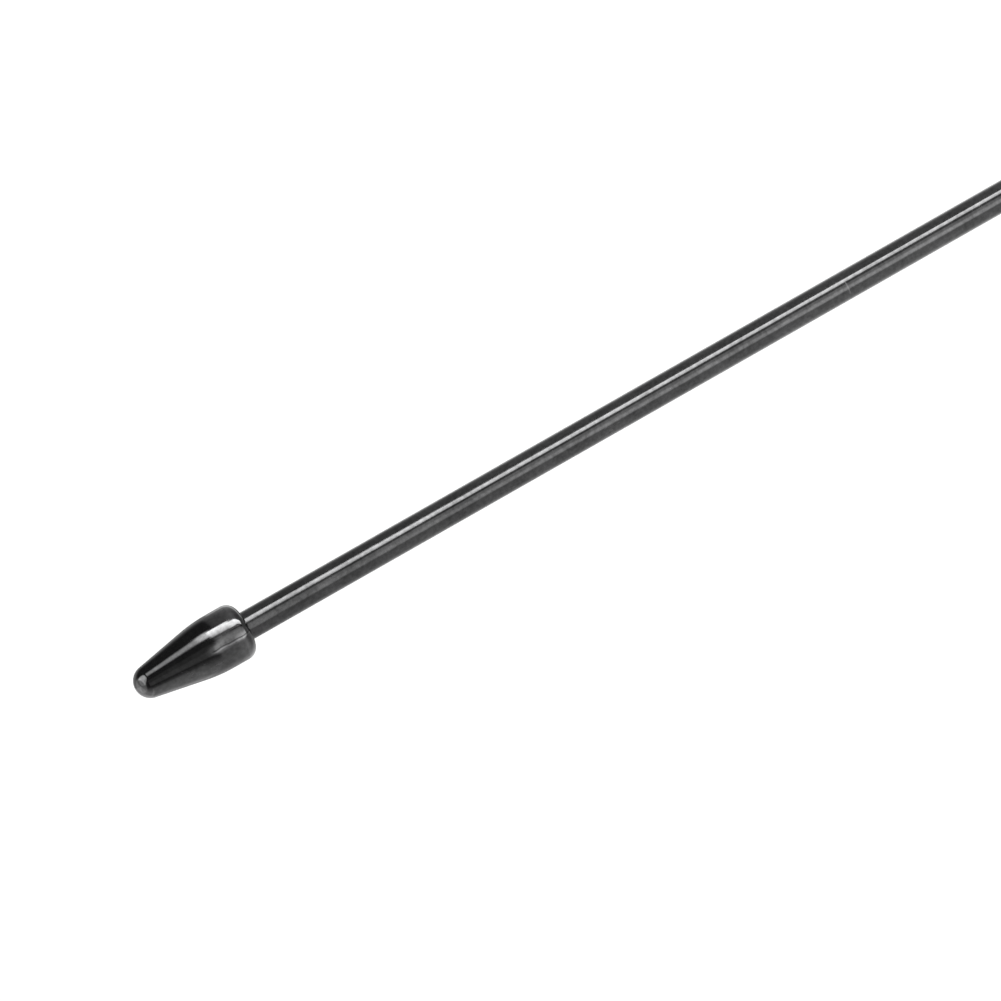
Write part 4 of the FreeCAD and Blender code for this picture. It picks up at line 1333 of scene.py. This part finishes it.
@dataclass
class Plug:
    """The coaxial plug: shell, dielectric, gilt pin and the knurled ring that draws it home."""

    sleeve_radius: float = 5.95
    sleeve_bore: float = 4.9
    notch_count: int = 4
    notch_width: float = 1.2
    notch_depth: float = 0.5
    notch_inset: float = 0.5
    wall_half_angle: float = 0.004
    flange: float = 2.5
    neck_radius: float = 6.0
    neck_top: float = 8.0
    shank_radius: float = 5.5
    shank_bore: float = 4.0
    bore_step: float = 2.0
    fit: float = 0.02
    stem_radius: float = 1.2
    pin_radius: float = 2.0
    pin_bevel: float = 0.8
    band_radius: float = 8.8
    band_length: float = 1.8
    band_bevel: float = 0.4
    thread_radius: float = 7.45
    thread_length: float = 10.0
    thread_depth: float = 0.49
    thread_pitch: float = 25.4 / 24
    thread_rows: int = 101
    thread_start: float = 0.3
    mouth: float = 0.4
    flank: float = 0.283
    relief_radius: float = 8.1
    lip: float = 2.2
    lip_radius: float = 6.4
    knurl_count: int = 32
    knurl_depth: float = 0.4
    columns_per_flute: int = 10

    def build(self) -> None:
        """Make every piece of the plug."""
        self.shell()
        self.dielectric()
        self.pin()
        self.ring()

    def notch(self, out: np.ndarray, up: np.ndarray, angle: np.ndarray
              ) -> tuple[np.ndarray, np.ndarray]:
        """Lift the front rim where a notch is: within half its width of a quarter turn."""
        share = TURN / self.notch_count
        away = np.abs((angle + share / 2) % share - share / 2)
        away = away * (self.sleeve_radius - self.notch_inset)
        foot = Extent.of("plug_body").foot
        in_notch = away < self.notch_width / 2
        return out, np.where(in_notch, np.maximum(up, foot + self.notch_depth), up)

    def shell(self) -> bpy.types.Object:
        """Sleeve, flange, neck and shank in one turned piece, its front rim notched."""
        reach = Extent.of("plug_body")
        step = self.neck_top - self.bore_step
        corners = [
            Corner(self.sleeve_bore, reach.foot, 0.08),
            Corner(self.sleeve_radius, reach.foot, 0.15),
            Corner(self.sleeve_radius, 0), Corner(reach.radius, 0, 0.1),
            Corner(reach.radius, self.flange, 0.1), Corner(self.neck_radius, self.flange),
            Corner(self.neck_radius, self.neck_top), Corner(self.shank_radius, self.neck_top),
            Corner(self.shank_radius, reach.top, 0.2), Corner(self.shank_bore, reach.top, 0.1),
            Corner(self.shank_bore, step), Corner(self.sleeve_bore, step),
        ]
        share = TURN / self.notch_count
        edge = self.notch_width / 2 / (self.sleeve_radius - self.notch_inset)
        walls = [quarter * share + side * (edge + gap) for quarter in range(self.notch_count + 1)
                 for side in (1, -1) for gap in (-self.wall_half_angle, self.wall_half_angle)]
        even = np.arange(COLUMNS) * TURN / COLUMNS
        angles = np.unique(np.concatenate([even, np.mod(walls, TURN)]))
        rows = divided(rounded(corners, ring=True), step=0.5, ring=True)
        return placed("plug_shell", "plug_body", Body.BASE, NICKEL,
                      [turned(rows, True, angles=angles, reshape=self.notch)])

    def dielectric(self) -> bpy.types.Object:
        """The stepped insulator, its front face dished a little round the pin."""
        reach = Extent.of("plug_insulator")
        wide, slim, stem = self.sleeve_bore - self.fit, self.shank_bore - self.fit, self.stem_radius
        step = self.neck_top - self.bore_step
        corners = [
            Corner(stem + self.fit, reach.foot), Corner(self.pin_radius + 0.2, reach.foot, 0.1),
            Corner(wide, reach.foot, 0.2), Corner(wide, step), Corner(slim, step),
            Corner(slim, reach.top, 0.2), Corner(stem + self.fit, reach.top),
        ]
        rows = divided(rounded(corners, ring=True), step=1.0, ring=True)
        return placed("plug_dielectric", "plug_insulator", Body.BASE, PTFE, [turned(rows, True)])

    def pin(self) -> bpy.types.Object:
        """The gilt pin with its bevelled end, and the stem behind it."""
        reach = Extent.of("centre_pin")
        back = Extent.of("plug_insulator").foot
        corners = [
            Corner(0, reach.foot), Corner(self.pin_radius - self.pin_bevel, reach.foot, 0.5),
            Corner(self.pin_radius, reach.foot + self.pin_bevel, 0.6),
            Corner(self.pin_radius, back), Corner(self.stem_radius, back),
            Corner(self.stem_radius, reach.top, 0.1), Corner(0, reach.top),
        ]
        rows = divided(rounded(corners, ring=False), step=1.0, ring=False)
        return placed("gilt_pin", "centre_pin", Body.BASE, GILT, [turned(rows, False)])

    def ring_surface(self, out: np.ndarray, up: np.ndarray, angle: np.ndarray
                     ) -> tuple[np.ndarray, np.ndarray]:
        """Knurl the ring's outside and cut its thread.

        A flute's depth falls evenly from its middle to the crests. The thread's groove has flat
        crest and root and straight flanks, and follows up / pitch - turns.
        """
        reach = Extent.of("coupling_ring")
        flute = TURN / self.knurl_count
        away = np.abs((angle + flute / 2) % flute - flute / 2) * reach.radius
        depth = np.clip(self.knurl_depth - away / 2, 0, self.knurl_depth)
        outside = np.minimum(out, np.maximum(reach.radius - depth, self.band_radius))
        out = np.where(out > self.band_radius + 0.02, outside, out)
        start, end = reach.foot + self.thread_start, reach.foot + self.thread_length
        phase = np.abs((up / self.thread_pitch - angle / TURN) % 1 - 0.5) * self.thread_pitch
        groove = np.clip((self.thread_pitch / 2 - self.flank / 2 - phase) / self.flank, 0, 1)
        inside = (np.abs(out - self.thread_radius) < 0.03) & (up > start) & (up < end - 0.02)
        return np.where(inside, out + self.thread_depth * groove, out), up

    def ring(self) -> bpy.types.Object:
        """The coupling ring: a knurl between plain bands, a 5/8-24 thread and the lip behind."""
        reach = Extent.of("coupling_ring")
        bore, band, foot, top = self.thread_radius, self.band_radius, reach.foot, reach.top
        crest, bevel, knurl_from = reach.radius, self.band_bevel, self.band_length + 0.15
        corners = [
            Corner(bore + self.mouth, foot, 0.06), Corner(band - bevel, foot, 0.1),
            Corner(band, foot + bevel, 0.1), Corner(band, foot + self.band_length),
            Corner(crest, foot + knurl_from, 0.06), Corner(crest, top - knurl_from, 0.06),
            Corner(band, top - self.band_length), Corner(band, top - bevel, 0.1),
            Corner(band - bevel, top, 0.1),
            Corner(self.lip_radius, top, 0.1), Corner(self.lip_radius, top - self.lip, 0.1),
            Corner(self.relief_radius, top - self.lip),
            Corner(self.relief_radius, foot + self.thread_length),
        ]
        outside = rounded(corners, ring=False)
        count = self.thread_rows
        thread = np.zeros((count, outside.shape[1]))
        thread[:, 0] = bore
        thread[:, 1] = foot + self.thread_length - np.linspace(0, 1, count) * (
            self.thread_length - self.mouth)
        rows = np.vstack([outside, thread])
        columns = self.knurl_count * self.columns_per_flute
        angles = np.arange(columns) * TURN / columns
        return placed("knurled_ring", "coupling_ring", Body.RING, NICKEL,
                      [turned(rows, True, angles=angles, reshape=self.ring_surface)])


@dataclass(frozen=True)
class Card:
    """A soft-edged patch of light in the studio that shiny surfaces mirror.

    Args:
        middle: azimuth of its middle from the camera's side, towards +X, in degrees.
        half: half its width, in degrees.
        bottom: elevation of its lower edge, in degrees.
        top: elevation of its upper edge, in degrees.
        light: its radiance, below zero where it shades.
        soft: how wide its side edges fade, in degrees.
        lean: how much brighter its far side is than its near side, as a share of its light.
        fade: how high its lower and upper edges fade, in degrees.
        flare: how much its half width grows for each degree above its lower edge, in degrees.
    """

    middle: float
    half: float
    bottom: float
    top: float
    light: float
    soft: float = 4.0
    lean: float = 0.0
    fade: float = 1.5
    flare: float = 0.0


@dataclass
class Studio:
    """The plain pale studio: floor, soft light all round, and the camera.

    Args:
        tip: height of the antenna's tip, in metres.
        foot: height of its lowest point, in metres.
    """

    tip: float
    foot: float
    floor_radius: float = 6.6
    floor_sides: int = 96
    floor_shade: float = 0.9
    surround: float = 1.5
    backdrop: float = 1.3
    key_power: float = 22.0
    key_size: float = 1.4
    key_place: tuple[float, float, float] = (-1.5, -2.0, 2.2)
    picture: int = 1001
    tip_pixel: tuple[float, float] = (135.5, 689.2)
    focal_pixels: float = 11016.0
    sensor: float = 36.0
    distance: float = 1.1
    elevation: float = 12.0
    slope: float = 29.65
    left_floor_light: float = 0.12
    back_floor_light: float = 0.2
    back_wall_light: float = 0.6
    room_light: float = 0.075
    ceiling_light: float = 0.6
    least_light: float = 0.02

    # Smooth steps of the mirrored light: where each starts and ends in degrees, and the values
    # before and after it, which are 0 and 1 where they are left out
    LEFT_SIDE = (-34.0, -106.0)
    LEFT_END = (-175.0, -135.0, 0.45, 1.0)
    RIGHT_SIDE = (55.0, 0.0, 0.33, 0.48)
    BEHIND = (100.0, 140.0)
    FLOOR_EDGE = (-11.3, -10.5, 1.42, 1.0)
    FLOOR_BAND = (-14.5, -11.6, 1.25, 1.0)
    FLOOR_UNDERFOOT = (-60.0, -22.0, 0.45, 1.0)
    LEFT_WALL = (6.0, 16.0, 0.72, 0.9)
    BACK_WALL = (112.0, 150.0)
    HORIZON = (-4.8, -3.2)
    HORIZON_DROP = (20.0, 60.0, 0.0, 3.8)
    CEILING = (43.0, 55.0)

    CARDS = (
        Card(41.5, 13.0, -11.1, -3.0, 5.7, soft=4.0, lean=0.6, fade=0.5),
        Card(37.0, 11.0, -60.0, -11.1, 6.3, soft=3.5, lean=0.3, fade=0.5),
        Card(48.0, 4.5, -3.0, 12.0, 1.9, soft=12.0, fade=2.0),
        Card(49.0, 10.0, -4.0, 5.0, 1.9, soft=7.0, fade=2.5),
        Card(44.0, 12.0, 20.5, 58.0, 1.75, soft=4.0, lean=0.1, fade=4.0, flare=1.05),
        Card(50.0, 14.0, 23.0, 46.0, 0.8, soft=10.0, fade=5.0),
        Card(-98.0, 32.0, 9.0, 17.0, 0.36, soft=14.0, fade=5.0),
        Card(36.0, 40.0, 46.0, 80.0, 0.6, soft=18.0, fade=7.0),
        Card(-25.0, 5.0, -60.0, -11.0, 1.6, soft=15.0, fade=0.9),
        Card(-25.0, 5.0, -60.0, -14.3, 0.5, soft=15.0, fade=1.0),
        Card(-22.0, 9.0, -9.6, -1.5, 1.2, soft=16.0, fade=1.6),
        Card(-20.0, 9.0, -5.0, 2.5, 0.45, soft=14.0, fade=3.0),
        Card(-3.0, 5.0, -60.0, -3.0, 0.5, soft=9.0),
        Card(33.0, 5.0, -12.6, -11.2, 1.3, soft=4.0, fade=0.5),
        Card(14.5, 1.2, -60.0, -10.5, -0.5, soft=3.2, fade=0.1),
        Card(25.0, 1.0, -60.0, -13.2, -2.4, soft=3.0, fade=0.8),
        Card(7.0, 7.0, -10.5, -6.0, 0.45, soft=8.0, fade=0.1),
        Card(-24.0, 7.0, -3.0, 26.0, 0.17, soft=9.0),
        Card(-3.0, 6.0, -3.0, 26.0, 0.08, soft=9.0),
        Card(150.0, 8.0, -60.0, -10.2, 0.7, soft=6.0, fade=0.2),
        Card(180.0, 12.0, -62.0, 3.0, -0.85, soft=8.0, fade=6.0),
    )

    def build(self) -> None:
        """Make floor, light and camera."""
        self.floor()
        self.world()
        self.key()
        self.camera()
        bpy.context.scene.view_settings.view_transform = "Standard"

    def floor(self) -> None:
        """A wide pale disc under the antenna. Shiny surfaces mirror the world's floor instead."""
        sides = self.floor_sides
        angle = np.arange(sides) * TURN / sides
        rim = np.stack([self.floor_radius * np.cos(angle), self.floor_radius * np.sin(angle),
                        np.full(sides, self.foot)], axis=1)
        mesh = bpy.data.meshes.new("floor")
        mesh.from_pydata(rim, [], [list(range(sides))])
        floor = bpy.data.objects.new("floor", mesh)
        bpy.context.scene.collection.objects.link(floor)
        material = bpy.data.materials.new("pale_floor")
        material.use_nodes = True
        shader = material.node_tree.nodes["Principled BSDF"]
        shader.inputs["Base Color"].default_value = (*(self.floor_shade,) * 3, 1.0)
        shader.inputs["Roughness"].default_value = 0.9
        shader.inputs["Specular IOR Level"].default_value = 0.0
        mesh.materials.append(material)
        floor.visible_glossy = False

    def world(self) -> None:
        """Light from all round: even for matt surfaces, white behind the antenna, and for shiny
        ones a dark room over a pale floor, with cards of light."""
        world = bpy.data.worlds.new("studio")
        bpy.context.scene.world = world
        world.use_nodes = True
        world.node_tree.nodes.clear()
        graph = Graph(world.node_tree)
        mirrored = self.mirrored_light(graph)
        rays = graph.add("ShaderNodeLightPath").outputs
        plain = graph.math("MULTIPLY_ADD", rays["Is Camera Ray"], self.backdrop - self.surround,
                           self.surround)
        strength = graph.add("ShaderNodeMix", {"Factor": rays["Is Glossy Ray"], "A": plain,
                                               "B": mirrored}).outputs["Result"]
        light = graph.add("ShaderNodeBackground", {"Strength": strength})
        graph.add("ShaderNodeOutputWorld", {"Surface": light.outputs[0]})

    def mirrored_light(self, graph: Graph) -> bpy.types.NodeSocket:
        """The radiance that shiny surfaces mirror from each direction.

        Azimuth is atan2(x, -y) and elevation asin(z), in degrees. The floor and the wall are
        brighter on the -X side, the back wall is pale, and the ceiling is a soft light of its own.
        Below the horizon, which dips towards the +X side, is the floor, and above it the room.
        """
        direction = graph.add("ShaderNodeTexCoord").outputs["Generated"]
        parts = graph.add("ShaderNodeSeparateXYZ", {0: direction}).outputs
        turned_round = graph.math("MULTIPLY", parts["Y"], -1.0)
        azimuth = graph.math("DEGREES", graph.math("ARCTAN2", parts["X"], turned_round))
        height = graph.math("DEGREES", graph.math("ARCSINE", parts["Z"]))
        either_side = graph.math("ABSOLUTE", azimuth)
        left = graph.math("MULTIPLY", graph.ramp(azimuth, *self.LEFT_SIDE),
                          graph.ramp(azimuth, *self.LEFT_END))

        near = graph.math("MULTIPLY", graph.ramp(height, *self.FLOOR_EDGE),
                          graph.ramp(height, *self.FLOOR_BAND))
        near = graph.math("MULTIPLY", near, graph.ramp(height, *self.FLOOR_UNDERFOOT))
        side = graph.ramp(azimuth, *self.RIGHT_SIDE)
        behind = graph.ramp(either_side, *self.BEHIND)
        floor = graph.math("MULTIPLY_ADD", behind, self.back_floor_light, side)
        floor = graph.math("MULTIPLY_ADD", left, self.left_floor_light, floor)
        floor = graph.math("MULTIPLY", floor, near)

        wall = graph.math("MULTIPLY", left, graph.ramp(height, *self.LEFT_WALL))
        back_wall = graph.ramp(either_side, *self.BACK_WALL)
        room = graph.math("MULTIPLY_ADD", back_wall, self.back_wall_light, self.room_light)
        room = graph.math("ADD", wall, room)

        dip = graph.ramp(azimuth, *self.HORIZON_DROP)
        above = graph.ramp(graph.math("ADD", height, dip), *self.HORIZON)
        total = graph.add("ShaderNodeMix", {"Factor": above, "A": floor, "B": room})
        total = graph.math("MULTIPLY_ADD", graph.ramp(height, *self.CEILING), self.ceiling_light,
                           total.outputs["Result"])
        for card in self.CARDS:
            total = graph.math("ADD", total, self.card_light(graph, card, azimuth, height))
        return graph.math("MAXIMUM", total, self.least_light)

    def card_light(self, graph: Graph, card: Card, azimuth: object, height: object
                   ) -> bpy.types.NodeSocket:
        """The light that one card adds: 0 outside it, and leaning brighter to one side inside.

        On a flared card the distance from its middle is divided by its growth, which is 1 at the
        lower edge and half that at the least.

        Args:
            graph: the world's nodes.
            card: the card.
            azimuth: azimuth of the direction, in degrees.
            height: its elevation, in degrees.

        Returns:
            The card's radiance in that direction.
        """
        away = graph.math("WRAP", graph.math("SUBTRACT", azimuth, card.middle), 180.0, -180.0)
        inside = away
        if card.flare:
            risen = graph.math("SUBTRACT", height, card.bottom)
            growth = graph.math("MULTIPLY_ADD", risen, card.flare / card.half, 1.0)
            inside = graph.math("DIVIDE", away, graph.math("MAXIMUM", growth, 0.5))
        across = graph.band(inside, 0.0, card.half, card.soft)
        up = graph.math("MULTIPLY",
                        graph.ramp(height, card.bottom - card.fade, card.bottom + card.fade),
                        graph.ramp(height, card.top - card.fade, card.top + card.fade, 1.0, 0.0))
        level = graph.math("MULTIPLY_ADD", away, card.lean * card.light / card.half, card.light)
        return graph.math("MULTIPLY", graph.math("MULTIPLY", across, up), level)

    def key(self) -> None:
        """A large soft light that models the matt pieces. Nothing mirrors it."""
        data = bpy.data.lights.new("key", "AREA")
        data.energy = self.key_power
        data.size = self.key_size
        key = bpy.data.objects.new("key", data)
        key.location = self.key_place
        key.rotation_euler = (-Vector(self.key_place)).to_track_quat("-Z", "Y").to_euler()
        key.visible_camera = False
        key.visible_glossy = False
        bpy.context.scene.collection.objects.link(key)

    def camera(self) -> None:
        """The camera: level axes turned by the whip's slope in the picture, and moved so that the
        tip falls on its pixel."""
        tilt, slope = math.radians(self.elevation), math.radians(self.slope)
        back = Vector((0.0, -math.cos(tilt), math.sin(tilt)))
        level = Vector((1.0, 0.0, 0.0))
        upright = back.cross(level)
        right = -math.sin(slope) * level - math.cos(slope) * upright
        up = math.cos(slope) * level - math.sin(slope) * upright
        half = self.picture / 2
        across = (self.tip_pixel[0] - half) * self.distance / self.focal_pixels
        rise = (half - self.tip_pixel[1]) * self.distance / self.focal_pixels
        data = bpy.data.cameras.new("camera")
        data.sensor_width = self.sensor
        data.lens = self.focal_pixels / self.picture * self.sensor
        data.clip_start, data.clip_end = 0.05, 60.0
        camera = bpy.data.objects.new("camera", data)
        place = Vector((0.0, 0.0, self.tip)) - right * across - up * rise + back * self.distance
        camera.matrix_world = Matrix.Translation(place) @ Matrix(
            (right, up, back)).transposed().to_4x4()
        bpy.context.scene.collection.objects.link(camera)
        bpy.context.scene.camera = camera


def dress_hidden(nodes: dict[str, bpy.types.Object]) -> None:
    """Give the nodes that keep their own shape, all hidden in the base, their finishes.

    Args:
        nodes: the frame's nodes by name.
    """
    for name, finish in (("threaded_insert", BRASS), ("coil_former", PTFE),
                         ("matching_capacitor", CERAMIC)):
        nodes[name].data.materials.clear()
        nodes[name].data.materials.append(finish.material())
        log.info("%s: dressed", name)


def main() -> None:
    """Load the frame, build every piece round it, and set up the studio."""
    logging.basicConfig(level=logging.INFO, format="%(name)s %(message)s")
    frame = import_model()
    fold = next(joint for joint in frame["joints"] if joint["name"] == "whip_fold")
    hinge_height = fold["pos_m"][2] / MM
    Whip(hinge_height).build()
    Hinge(hinge_height).build()
    LoadedBase().build()
    Plug().build()
    dress_hidden(frame["nodes"])
    Studio(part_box("tip_cap")[1].z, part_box("centre_pin")[0].z).build()


if __name__ == "__main__":
    main()
